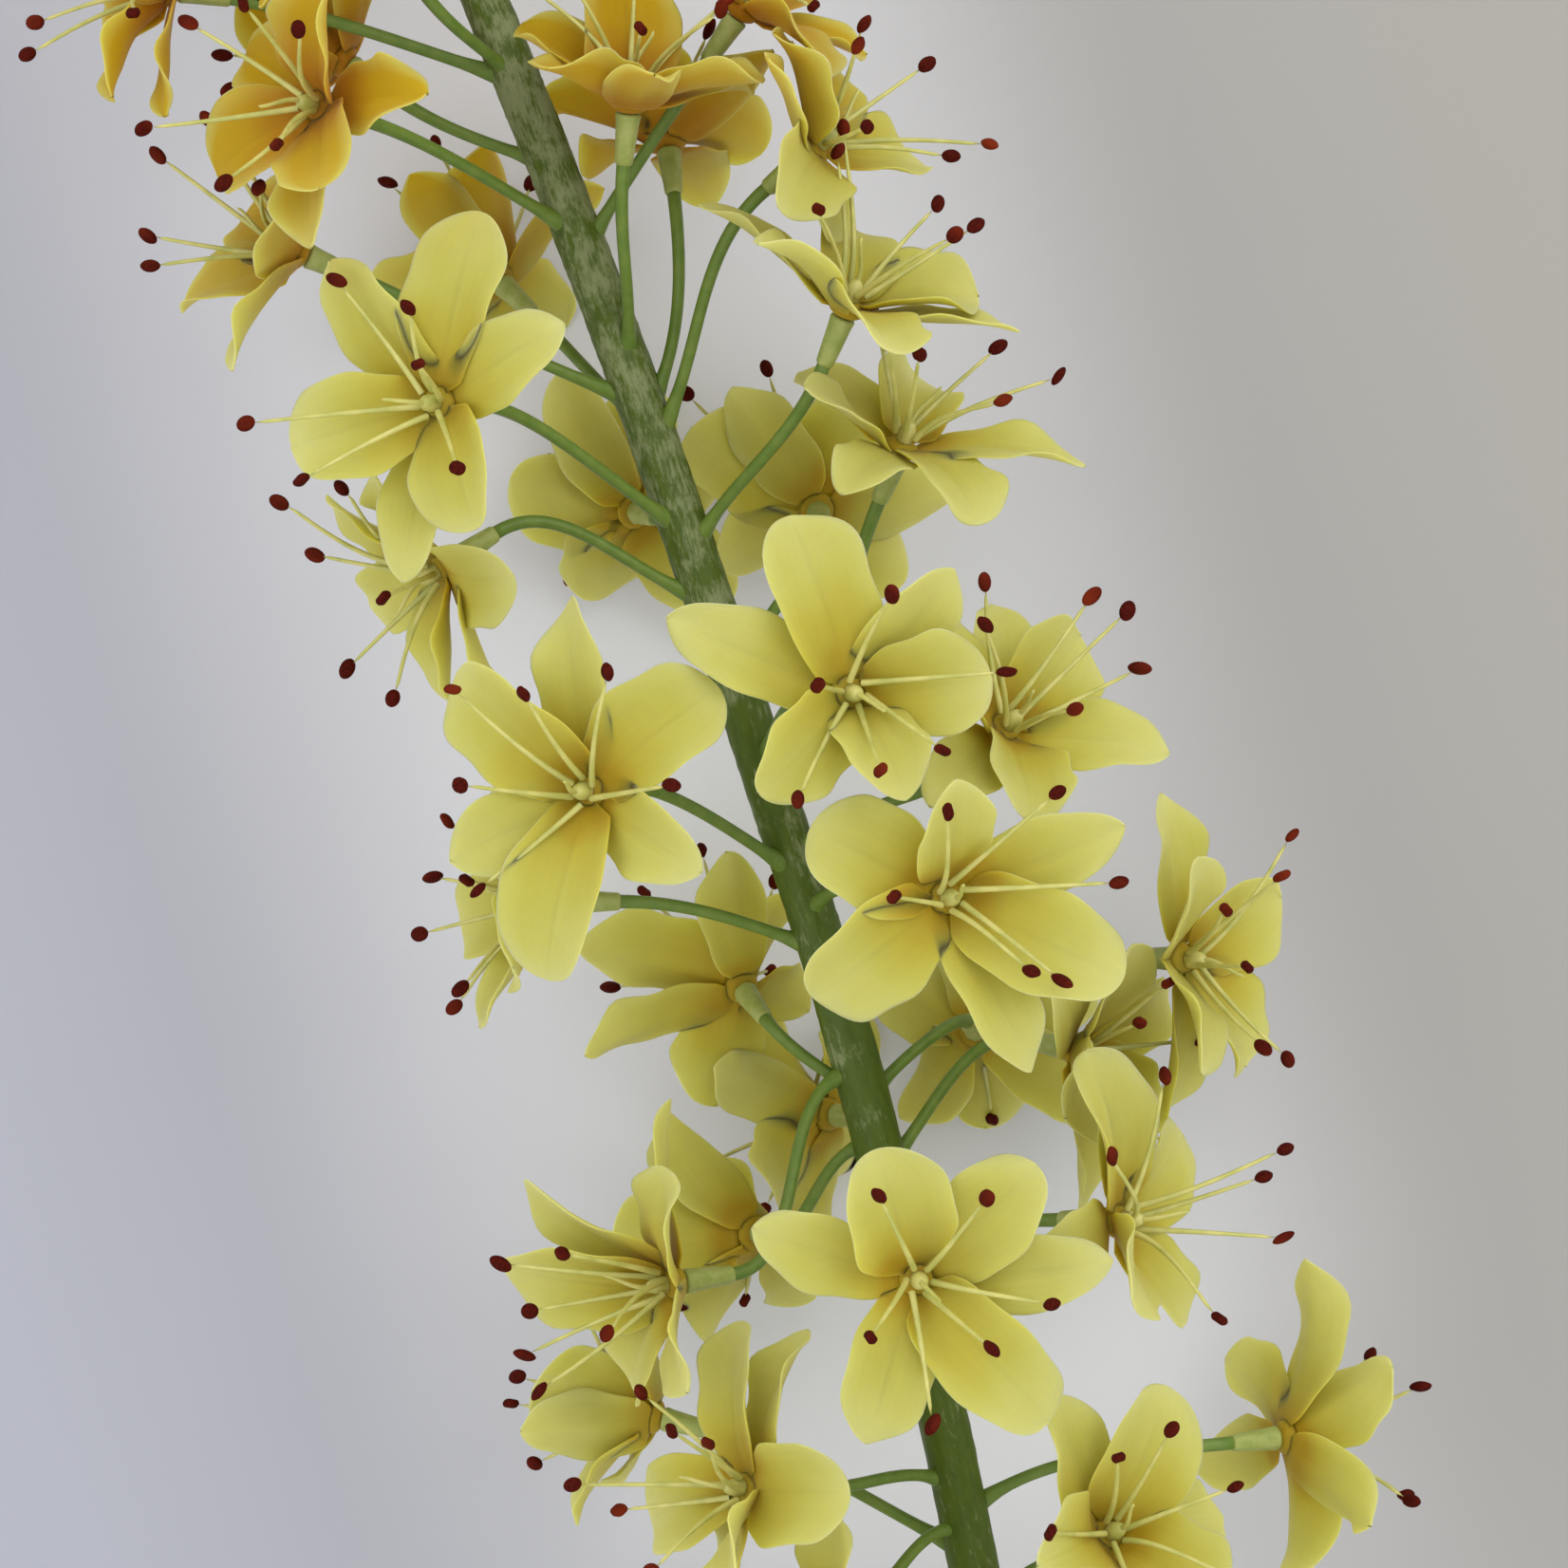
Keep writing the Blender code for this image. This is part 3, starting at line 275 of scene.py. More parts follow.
class SpikeSizes(bpy.types.PropertyGroup):
    """The spike's fine sizes"""
    petal_thickness: length("Petal thickness", "Thickness of a petal at its middle", 0.00045)
    ruffle: length("Ruffle", "Height of the waves along a petal's edge", 0.00052)
    crease: length("Crease", "Depth of the fold along a petal's middle", 0.00034)
    filament_foot: length("Filament foot", "Radius of a filament at its foot", 0.00032)
    filament_end: length("Filament end", "Radius of a filament under its anther", 0.00017)
    stalk_radius: length("Stalk radius", "Radius of a floret's stalk", 0.00058)
    sleeve_radius: length("Sleeve radius", "Radius of the pale sleeve under a floret", 0.00114)
    meal_relief: length("Meal relief", "Height of the mealy bumps on the stem", 0.00009)


class SpikeColours(bpy.types.PropertyGroup):
    """The colours of the spike and of the floor under it"""
    petal: tone("Petal", "Yellow of an open petal", "#B2AD57")
    # The inner third's deeper yellow is partly the petal's own colour and partly painted shade in
    # its cup
    petal_fold_and_cup_shade: tone("Petal fold", "Deeper yellow of a petal's inner third", "#AB9F38")
    petal_base: tone("Petal base", "Gold at the foot of a petal", "#A2861A")
    # The pale tip colour also paints the light that shows through a petal's thin margins
    petal_tip_and_margin_light: tone("Petal tip", "Pale yellow at a petal's tip", "#C4C07A")
    gold: tone("Gold petal", "Deeper yellow of the upper florets", "#AC8A0C")
    gold_base: tone("Gold petal base", "Orange gold at the foot of the upper petals", "#A26C06")
    filament: tone("Filament", "Pale yellow of the filaments", "#CAC372")
    anther: tone("Anther", "Maroon of the anthers", "#4A1006")
    pollen: tone("Pollen", "Red brown of the ripest anthers", "#7C2A10")
    stem: tone("Stem", "Green of the stem", "#526512")
    meal: tone("Stem meal", "Pale bloom on the stem", "#9BA278")
    stalk: tone("Stalk", "Green of the floret stalks", "#6E8432")
    sleeve: tone("Sleeve", "Pale green of the sleeves", "#A8AD62")
    bud: tone("Bud", "Yellow green of the buds", "#A0A040")
    pith: tone("Pith", "Pale green of the stem's cut end", "#A9B27A")
    pith_pale: tone("Pith streaks", "Palest streaks of the stem's cut end", "#C9CDA0")
    # The floor's palest grey is a painted pool of light under the florets, and its left and right
    # greys are painted cool and warm light
    floor: tone("Floor", "Pale grey of the floor under the spike", "#EEEEF2")
    floor_left_cool_light: tone("Floor left", "Cooler grey of the floor on the picture's left", "#A6A7B0")
    floor_right_warm_light: tone("Floor right", "Warmer grey of the floor on the picture's right", "#A09D96")


def unit(v):
    """A vector's direction, one long."""
    v = np.asarray(v, float)
    return v / np.linalg.norm(v)


def within(value, least, most):
    """A value kept between two others."""
    return max(least, min(most, value))


def spot(x, y, depth):
    """The point seen at pixel x, y of the picture at a depth over the stem."""
    scale = (EYE_HEIGHT - depth) / EYE_HEIGHT / PX_PER_MM
    flat = RIGHT * (x - PICTURE_MIDDLE) + UP * (PICTURE_MIDDLE - y)
    return flat * scale + NEAR * (AXIS_HEIGHT + depth)


def aim(facing):
    """A direction given as right, up and near in the picture."""
    return unit(RIGHT * facing[0] + UP * facing[1] + NEAR * facing[2])


def across(direction):
    """Two unit vectors square to a direction and to each other."""
    side = np.cross(direction, NEAR)
    if np.linalg.norm(side) < 0.2:
        side = np.cross(direction, RIGHT)
    side = unit(side)
    return side, np.cross(direction, side)


def stem_line(steps):
    """Points, radii and picture rows along the stem, a smooth curve through STEM."""
    knots = np.array(STEM, float)
    rows = []
    for i in range(len(knots) - 1):
        a, b = knots[i], knots[i + 1]
        before = knots[i - 1] if i else 2 * a - b
        after = knots[i + 2] if i + 2 < len(knots) else 2 * b - a
        for k in range(steps):
            t = k / steps
            rows.append(0.5 * (2 * a + (b - before) * t
                               + (2 * before - 5 * a + 4 * b - after) * t ** 2
                               + (3 * a - before - 3 * b + after) * t ** 3))
    rows.append(knots[-1])
    rows = np.array(rows)
    points = np.array([spot(x, y, depth) for x, y, depth, _ in rows])
    return points, rows[:, 3], rows[:, 1]


def stem_at(y, line):
    """Point, radius and direction of the stem at a picture row."""
    points, radii, rows = line
    at = np.interp(-y, -rows, np.arange(len(rows)))
    i = min(int(at), len(rows) - 2)
    t = at - i
    point = points[i] * (1 - t) + points[i + 1] * t
    return point, radii[i] * (1 - t) + radii[i + 1] * t, unit(points[i + 1] - points[i])


def bezier(p0, p1, p2, p3, count):
    """Points along a curve from p0 to p3 that leaves towards p1 and arrives from p2."""
    t = np.linspace(0, 1, count)[:, None]
    return (p0 * (1 - t) ** 3 + 3 * p1 * t * (1 - t) ** 2
            + 3 * p2 * t ** 2 * (1 - t) + p3 * t ** 3)


def stalk_curve(floret, line, count):
    """A floret's stalk, from inside the stem to the foot of its sleeve."""
    root, radius, along = stem_at(floret["root"], line)
    middle, facing = floret["middle"], floret["facing"]
    end = middle - facing * (SLEEVE_LENGTH + SEAT_GAP)
    out = end - root
    rise = float(out @ along)
    out = unit(out - along * rise)
    start = root + out * radius * 0.4
    reach = float(np.linalg.norm(end - start))
    lift = 0.45 + 0.55 * within(rise / reach, -1.0, 1.0)
    leave = unit(out + along * lift)
    return bezier(start, start + leave * reach * 0.36, end - facing * reach * 0.36, end, count)


def bud_lines(line):
    """The buds of the tip, largest first: points from the stem to the tip, and the size."""
    draw = random.Random(BUD_SEED)
    buds = []
    for i in range(BUD_COUNT):
        share = i / (BUD_COUNT - 1)
        y = BUD_FIRST_Y + (BUD_LAST_Y - BUD_FIRST_Y) * share
        root, radius, along = stem_at(y, line)
        side, other = across(along)
        turn = i * GOLDEN_ANGLE + draw.uniform(-0.15, 0.15)
        out = side * math.cos(turn) + other * math.sin(turn)
        size = 1.0 - 0.6 * share
        stalk = max(0.0, 6.0 - 15.0 * share)
        rise = 0.75 + 0.6 * share
        way = unit(out + along * rise)
        start = root + out * radius * 0.3
        foot = start + unit(out + along * rise * 0.6) * (radius * 0.6 + stalk)
        buds.append((start, foot, way, size))
    return buds


def tip_of(base, x, y, reach, facing, opening):
    """Where a tip seen at x, y lies, a length from its base and nearest an opening."""
    best = None
    for sign in (1, -1):
        depth = base[2] - AXIS_HEIGHT
        for _ in range(6):
            flat = spot(x, y, depth) - base
            flat[2] = 0.0
            left = max(reach ** 2 - float(flat @ flat), 0.0)
            depth = base[2] - AXIS_HEIGHT + sign * math.sqrt(left)
        way = spot(x, y, depth) - base
        miss = abs(math.acos(within(float(unit(way) @ facing), -1.0, 1.0)) - opening)
        if best is None or miss < best[0]:
            best = (miss, way)
    return best[1]


def radial(floret, turn):
    """The direction square to a floret's axis at a turn about it."""
    return floret["side"] * math.cos(turn) + floret["other"] * math.sin(turn)


def polar(floret, way):
    """Turn about a floret's axis, opening from it, and length of a direction."""
    reach = float(np.linalg.norm(way))
    turn = math.atan2(float(way @ floret["other"]), float(way @ floret["side"]))
    return turn, math.acos(within(float(way @ floret["facing"]) / reach, -1.0, 1.0)), reach


def tepal_plan(kind, draw, slot, turn, opening, reach):
    """A tepal's own numbers: where it goes, its size, curl, cup and waves."""
    broad = kind == B
    return {
        "kind": kind, "slot": slot, "turn": turn, "opening": opening, "length": reach,
        "width": (BROAD_WIDTH if broad else NARROW_WIDTH) * draw.uniform(0.92, 1.08),
        "curl": math.radians(draw.uniform(15, 55)),
        "cup": draw.uniform(0.12, 0.34),
        "roll": draw.uniform(-0.35, 0.35),
        "wave": draw.uniform(0.3, 1.1),
        "phase": draw.uniform(0, 6.28),
    }


def best_slots(turns, starts):
    """Six even slots that keep the given turns in order with the least turning."""
    best = None
    for start in starts:
        order = sorted(range(len(turns)),
                       key=lambda i: (turns[i] - start + SIXTH / 2) % (2 * math.pi))
        for chosen in itertools.combinations(range(6), len(turns)):
            off = [abs(math.remainder(turns[i] - start - k * SIXTH, 2 * math.pi))
                   for i, k in zip(order, chosen)]
            cost = sum(value ** 2 for value in off)
            if best is None or cost < best[0] - 1e-9:
                best = (cost, start, dict(zip(chosen, order)))
    return best[1], best[2]


def plan_floret(row, number):
    """Where a floret's middle, tepals and stamens go before any is bent clear."""
    name, root, x, y, depth, facing, tips, anthers = row
    draw = random.Random(FLORET_SEED + number)
    floret = {"name": name, "root": root, "middle": spot(x, y, depth), "facing": aim(facing)}
    floret["side"], floret["other"] = across(floret["facing"])
    # Florets nearer the tip than the picture shows are smaller
    size = 1.0 if y > -100 else TIP_SIZE
    given = []
    for kind, tip_x, tip_y in tips:
        reach = (BROAD_LENGTH if kind == B else NARROW_LENGTH) * size
        start = floret["middle"] + floret["facing"] * 0.9
        way = tip_of(start, tip_x, tip_y, reach, floret["facing"], TEPAL_OPENING)
        turn, angle, reach = polar(floret, way)
        angle = within(angle, *TEPAL_RANGE)
        given.append((kind, turn, angle, min(reach, LONGEST_TEPAL) - FOOT_LENGTH))
    begin = draw.uniform(0, 1.0)
    starts = [math.radians(5 * k) for k in range(12)] if given else [begin]
    start, taken = best_slots([item[1] for item in given], starts)
    even = sum(1 if (given[i][0] == B) == (k % 2 == 0) else -1 for k, i in taken.items()) >= 0
    shown, unseen = [], []
    for k in range(6):
        slot = start + k * SIXTH
        item = given[taken[k]] if k in taken else None
        if item is None:
            kind = B if (k % 2 == 0) == even else N
            turn = slot + draw.uniform(-0.12, 0.12)
            angle = TEPAL_OPENING + math.radians(draw.uniform(-4, 6) + (8 if kind == N else -4))
            reach = (BROAD_LENGTH if kind == B else NARROW_LENGTH) * draw.uniform(0.93, 1.05)
            unseen.append(tepal_plan(kind, draw, slot, turn, angle, reach * size - FOOT_LENGTH))
        else:
            kind, turn, angle, reach = item
            shown.append(tepal_plan(kind, draw, slot, turn, angle, reach))
    floret["tepals"] = shown + unseen
    given = []
    for tip_x, tip_y in anthers:
        base = floret["middle"] + floret["facing"] * 2.0
        way = tip_of(base, tip_x, tip_y, FILAMENT_LENGTH, floret["facing"], STAMEN_OPENING)
        turn, angle, reach = polar(floret, way)
        angle = within(angle, *STAMEN_RANGE)
        given.append((turn, angle, within(reach, *STAMEN_REACH)))
    _, taken = best_slots([item[0] for item in given], [start])
    floret["stamens"] = []
    for k in range(6):
        slot = start + k * SIXTH
        item = (slot + draw.uniform(-0.2, 0.2), STAMEN_OPENING + draw.uniform(-0.2, 0.3),
                FILAMENT_LENGTH * draw.uniform(0.88, 1.05) * size)
        if k in taken:
            item = given[taken[k]]
        floret["stamens"].append({"slot": slot, "turn": item[0], "opening": item[1],
                                  "length": item[2], "sag": draw.uniform(0.3, 1.2)})
    return floret


def bends():
    """Small changes of turn, opening and length, the least first."""
    steps = []
    for turn in (0, 7, -7, 14, -14, 21, -21, 28, -28, 36, -36):
        for opening in (0, 8, -8, 16, -16, 25, -25, 36, -36, 48, -48):
            for shrink in (1.0, 0.88, 0.75, 0.6, 0.45):
                cost = abs(turn) / 8 + abs(opening) / 9 + (1 - shrink) * 22
                steps.append((cost, math.radians(turn), math.radians(opening), shrink))
    return sorted(steps, key=lambda s: s[0])


def bent(piece, step):
    """A tepal or stamen with one bend applied, no further round than its neighbour."""
    changed = dict(piece)
    off = math.remainder(piece["turn"] + step[1] - piece["slot"], 2 * math.pi)
    changed["turn"] = piece["slot"] + within(off, -MOST_TURN, MOST_TURN)
    changed["opening"] = max(0.15, piece["opening"] + step[2])
    changed["length"] = piece["length"] * step[3]
    return changed


def outline(kind, t):
    """Half width of a tepal's outline at shares t of its length, as a share of the widest."""
    belly, rise, foot = (0.55, 0.68, 0.45) if kind == B else (0.52, 0.68, 0.44)
    low = foot + (1 - foot) * np.sin(np.pi / 2 * np.clip(t / belly, 0, 1) ** rise)
    x = np.clip((t - belly) / (1 - belly), 0, 1)
    if kind == B:
        high = np.sqrt(1 - x ** 2.2)
    else:
        high = (1 - x ** 2) ** 0.68
    return np.where(t < belly, low, high)


def midline(floret, tepal, t):
    """A tepal's middle line at shares t of its length, and its own axes there."""
    facing, opening = floret["facing"], tepal["opening"]
    out = radial(floret, tepal["turn"])
    tangent = np.cross(facing, out)
    base = (floret["middle"] + facing * SEAT_HEIGHT[tepal["kind"]]
            + radial(floret, tepal["slot"]) * CORE_RADIUS)
    curl = tepal["curl"]
    # The line turns outwards evenly, and is stretched to end where its length says
    fine = np.linspace(0, 1, 41)
    angle = opening + curl * (fine - 0.5)
    run = np.concatenate(([0.0], np.cumsum((np.sin(angle[1:]) + np.sin(angle[:-1])) / 80)))
    rise = np.concatenate(([0.0], np.cumsum((np.cos(angle[1:]) + np.cos(angle[:-1])) / 80)))
    stretch = tepal["length"] / math.hypot(run[-1], rise[-1])
    x = (np.interp(t, fine, run) * stretch)[:, None]
    z = (np.interp(t, fine, rise) * stretch)[:, None]
    a = (opening + curl * (t - 0.5))[:, None]
    inward = facing * np.sin(a) - out * np.cos(a)
    roll = (tepal["roll"] * t)[:, None]
    sideways = tangent * np.cos(roll) + inward * np.sin(roll)
    lift = inward * np.cos(roll) - tangent * np.sin(roll)
    return base + out * x + facing * z, sideways, lift


def petal_face(floret, tepal, t, s, sizes):
    """Points of a tepal's middle surface at shares t along it and s across it."""
    middle, sideways, lift = midline(floret, tepal, t)
    phase = tepal["phase"]
    # Each margin wanders in and out, and waves up and down, on its own
    side = np.where(s > 0, 2.1, 0.0)
    uneven = 0.07 * np.sin(5.0 * t + phase + side) + 0.035 * np.sin(15.0 * t + 2 * phase + 3 * side)
    # A little over half the width, because the waves and the cup draw a petal in
    broad = tepal["width"] * 0.53
    half = broad * outline(tepal["kind"], t) * (1 + uneven)
    wave = np.sin(phase + 5.0 * t) * s * abs(s) * tepal["wave"] * t ** 2
    ruffle = (np.sin(phase * 1.7 + 13.0 * t + side) * np.abs(s) ** 3
              + 0.45 * np.sin(phase * 2.3 + 3.4 * s) * np.sin(phase + 8.0 * t))
    ruffle *= sizes.ruffle * 1000 * t
    crease = -np.exp(-(s * half / CREASE_WIDTH) ** 2) * np.sin(np.pi * np.clip(t, 0, 1)) ** 0.7
    # The outer, narrow petals lie flat at their foot, under the inner ones
    cup = tepal["cup"] * 1.35 + 0.08
    if tepal["kind"] == N:
        cup = cup * np.clip(t / 0.7, 0, 1) ** 2
    height = half * cup * s * s + wave * 1.9 + ruffle + crease * sizes.crease * 1000
    height *= np.clip(half / broad, 0.15, 1)
    return middle + sideways * (half * s)[:, None] + lift * height[:, None]


def stamen_curve(floret, stamen, count):
    """A filament from inside the column to its end, and the way its anther points."""
    facing, out = floret["facing"], radial(floret, stamen["turn"])
    start = floret["middle"] + facing * 2.6 + radial(floret, stamen["slot"]) * 1.2
    opening, reach, sag = stamen["opening"], stamen["length"], stamen["sag"]
    end = start + (facing * math.cos(opening) + out * math.sin(opening)) * reach
    first = unit(facing * math.cos(opening * sag) + out * math.sin(opening * sag))
    last = unit(end - start) * (1 + sag) - first * sag
    curve = bezier(start, start + first * reach * 0.35, end - unit(last) * reach * 0.3, end, count)
    return curve, unit(end - start)


def solid_corners(node_name):
    """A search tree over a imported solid's corners, in millimetres of the plan."""
    shift = Vector((ORIGIN[0], ORIGIN[1], 0.0))
    vertices = frame["nodes"][node_name].data.vertices
    search = KDTree(len(vertices))
    for i, vertex in enumerate(vertices):
        search.insert(vertex.co * 1000 + shift, i)
    search.balance()
    return search


def follow_solid(floret):
    """Bends tepals and stamens as those of the floret's solid are bent."""
    search = solid_corners("floret_" + floret["name"])
    steps = bends()
    # The solid's tepals have their corners at these shares of their length
    rows = np.array([0.38, 0.76, 1.0])
    half = TEPAL_THICKNESS / 2
    tepals, stamens = [], []
    for piece in floret["tepals"]:
        best = (TEPAL_MISS, None)
        for step in steps:
            trial = bent(piece, step)
            points = midline(floret, trial, rows)[0]
            points[:, 2] = np.maximum(points[:, 2], half)
            miss = sum(abs(search.find(point)[2] - half) for point in points)
            if miss < best[0]:
                best = (miss, trial)
            if miss < NEAR_ENOUGH:
                break
        # One tepal of the whole spike had no room, so its solid lacks it
        if best[1] is not None:
            tepals.append(best[1])
    if len(tepals) < 5:
        raise RuntimeError("Floret " + floret["name"] + " doesn't match its solid")
    for piece in floret["stamens"]:
        # A stamen that the solid lacks stays straight and a little shorter
        straight = dict(piece, turn=piece["slot"], opening=0.7, length=9.5)
        best = (STAMEN_MISS, bent(straight, (0, 0.0, 0.0, 0.9)))
        for trial in [bent(choice, step) for choice in (piece, straight) for step in steps]:
            curve, way = stamen_curve(floret, trial, 2)
            belly = curve[-1] + way * ANTHER_LENGTH * 0.45
            miss = (search.find(curve[-1] + way * ANTHER_LENGTH)[2]
                    + abs(search.find(belly)[2] - ANTHER_RADIUS))
            if miss < best[0]:
                best = (miss, trial)
            if miss < NEAR_ENOUGH:
                break
        stamens.append(best[1])
    floret["tepals"], floret["stamens"] = tepals, stamens
    return floret


def skin(work, columns, rows, place, slot=0, strip=None):
    """A grid rolled into a closed skin: place gives points for shares round and along it."""
    made = bmesh.ops.create_grid(work, x_segments=columns, y_segments=rows, size=1.0)["verts"]
    around = np.array([vertex.co.x for vertex in made]) / 2 + 0.5
    along = np.array([vertex.co.y for vertex in made]) / 2 + 0.5
    layers = work.loops.layers.uv
    sheet = layers.get("UVMap") or layers.new("UVMap")
    cross = around if strip is None else strip(around)
    for vertex, point, u, v in zip(made, place(around, along), cross, along):
        vertex.co = point
        for loop in vertex.link_loops:
            loop[sheet].uv = (u, v)
            loop.face.material_index = slot
    bmesh.ops.remove_doubles(work, verts=made, dist=0.002)


def tube_place(points, radii, shape=None):
    """Places a round skin along a line of points; shape changes the radius round it."""
    points = np.asarray(points, float)
    radii = np.asarray(radii, float)
    count = len(points)
    tangents = np.gradient(points, axis=0)
    tangents /= np.linalg.norm(tangents, axis=1, keepdims=True)
    sides = np.zeros_like(points)
    side = across(tangents[0])[0]
    for i in range(count):
        side = unit(side - tangents[i] * (side @ tangents[i]))
        sides[i] = side
    others = np.cross(tangents, sides)

    def place(around, along):
        row = np.clip(np.rint(along * (count - 1)).astype(int), 0, count - 1)
        turn = around * 2 * np.pi
        reach = radii[row] * (1.0 if shape is None else shape(around, along))
        return (points[row] + sides[row] * (np.cos(turn) * reach)[:, None]
                + others[row] * (np.sin(turn) * reach)[:, None])

    return place


def tube(work, points, radii, columns, slot=0, shape=None):
    """A round skin along a line, closed where the radius comes to nothing."""
    skin(work, columns, len(points) - 1, tube_place(points, radii, shape), slot)


def petal(work, floret, tepal, sizes):
    """A petal as a thin lens across, rolled from one grid and drawn out to its tip."""
    belly = 0.6 if tepal["kind"] == B else 0.5

    def lengthwise(along):
        late = belly + (1 - belly) * np.sin(np.pi / 2 * np.clip(along * 2 - 1, 0, 1))
        return np.where(along < 0.5, belly * along * 2, late)

    def place(around, along):
        t = lengthwise(along)
        s = np.cos(around * 2 * np.pi)
        at = np.clip(t, 0.004, 0.992)
        aside = np.clip(s, -0.98, 0.98)
        ahead = petal_face(floret, tepal, at + 0.004, s, sizes)
        behind = petal_face(floret, tepal, at - 0.004, s, sizes)
        left = petal_face(floret, tepal, at, aside - 0.02, sizes)
        right = petal_face(floret, tepal, at, aside + 0.02, sizes)
        normal = np.cross(right - left, ahead - behind)
        normal /= np.maximum(np.linalg.norm(normal, axis=1, keepdims=True), 1e-9)
        # Half the thickness in millimetres, less towards the tip and none at the margins
        thick = sizes.petal_thickness * 500 * (1.0 - 0.45 * t ** 2)
        rim = np.abs(np.sin(around * 2 * np.pi)) ** 0.7 * np.sign(np.sin(around * 2 * np.pi))
        points = petal_face(floret, tepal, t, s, sizes) + normal * (thick * rim)[:, None]
        foot = floret["middle"] + floret["facing"] * SEAT_HEIGHT[tepal["kind"]]
        points[t <= 0] = foot + radial(floret, tepal["slot"]) * 0.5
        points[:, 2] = np.maximum(points[:, 2], 0.02)
        return points

    skin(work, *PETAL_GRID, place, 0, lambda around: np.cos(around * 2 * np.pi) / 2 + 0.5)


def ball(work, middle, axes, radii, slot):
    """A round body with three radii along its axes."""
    made = bmesh.ops.create_uvsphere(work, u_segments=14, v_segments=9, radius=1.0)["verts"]
    turn = Matrix([[axes[j][i] * radii[j] for j in range(3)] for i in range(3)]).to_4x4()
    bmesh.ops.transform(work, matrix=Matrix.Translation(Vector(middle)) @ turn, verts=made)
    for vertex in made:
        for face in vertex.link_faces:
            face.material_index = slot
    return made


def stamen(work, floret, plan, sizes, draw):
    """A filament that thins to its end, and its two-lobed anther held by the middle."""
    curve, way = stamen_curve(floret, plan, 16)
    share = np.linspace(0, 1, len(curve))
    foot, end = sizes.filament_foot * 1000, sizes.filament_end * 1000
    radii = end + (foot - end) * (1 - share) ** 1.4
    radii[-1] = 0.0
    curve[-1] = curve[-1] + way * 0.35
    tube(work, curve, radii, 8, 1)
    tilt = way + radial(floret, draw.uniform(0, 2 * math.pi)) * draw.uniform(0.0, 0.7)
    along = unit(tilt)
    side, other = across(along)
    swing = draw.uniform(0, math.pi)
    side, other = (side * math.cos(swing) + other * math.sin(swing),
                   other * math.cos(swing) - side * math.sin(swing))
    middle = curve[-1] + way * ANTHER_LENGTH * 0.30
    reach = ANTHER_LENGTH * draw.uniform(0.34, 0.48)
    radii = (0.58, ANTHER_RADIUS * draw.uniform(0.80, 0.98), reach)
    for vertex in ball(work, middle, (side, other, along), radii, 2):
        off = np.array(vertex.co) - middle
        groove = 1 - 0.3 * math.exp(-(float(off @ other) / 0.28) ** 2)
        vertex.co = Vector(middle + off + side * float(off @ side) * (groove - 1))


def heart(work, floret, draw):
    """The receptacle that the petals grow from, the pale ovary on it and its style."""
    middle, facing = floret["middle"], floret["facing"]
    axes = (floret["side"], floret["other"], facing)
    ball(work, middle + facing * 1.0, axes, (1.75, 1.75, 1.0), 0)
    ball(work, middle + facing * 2.4, axes, (0.85, 0.85, 1.6), 1)
    lean = radial(floret, draw.uniform(0, 6.28))
    start = middle + facing * 3.9
    end = start + facing * 4.2 + lean * 1.6
    style = bezier(start, start + facing * 1.6, end - facing * 1.2, end, 10)
    radii = np.linspace(0.26, 0.15, 10)
    radii[-1] = 0.0
    tube(work, style, radii, 7, 1)


def join(made, sockets):
    """Sets a node's inputs, each to a value or linked from another node's output."""
    for key, value in sockets.items():
        if isinstance(value, bpy.types.NodeSocket):
            made.id_data.links.new(value, made.inputs[key])
        else:
            made.inputs[key].default_value = value


def node(material, kind, sockets, out=0, **settings):
    """Adds a shader node with its settings and inputs, and gives one of its outputs."""
    made = material.node_tree.nodes.new("ShaderNode" + kind)
    for name, value in settings.items():
        setattr(made, name, value)
    join(made, sockets)
    return made.outputs[out]


def new_material(name, **sockets):
    """A material and its shader, with the shader's constant values set on its sockets."""
    material = bpy.data.materials.new(name)
    material.use_nodes = True
    shader = material.node_tree.nodes["Principled BSDF"]
    join(shader, {socket.replace("_", " "): value for socket, value in sockets.items()})
    return material, shader


def stops(ramp, *pairs):
    """Sets a colour ramp's stops from pairs of place and linear colour."""
    elements = ramp.node.color_ramp.elements
    while len(elements) > 1:
        elements.remove(elements[-1])
    elements[0].position, elements[0].color = pairs[0][0], rgba(pairs[0][1])
    for place, colour in pairs[1:]:
        elements.new(place).color = rgba(colour)
    return ramp


def rgba(colour):
    """A linear colour with full alpha, as sockets take it."""
    return (*colour, 1.0)


def blend(first, second, share):
    """A linear colour between two, at a share of the way to the second."""
    return [a + (b - a) * share for a, b in zip(first, second)]


def shaded(colour, red, green, blue):
    """A linear colour with each part times a share."""
    return [colour[0] * red, colour[1] * green, colour[2] * blue]


def per_metre(millimetres):
    """Scale of a pattern whose repeat is so many millimetres, on coordinates in metres."""
    return 1000.0 / millimetres


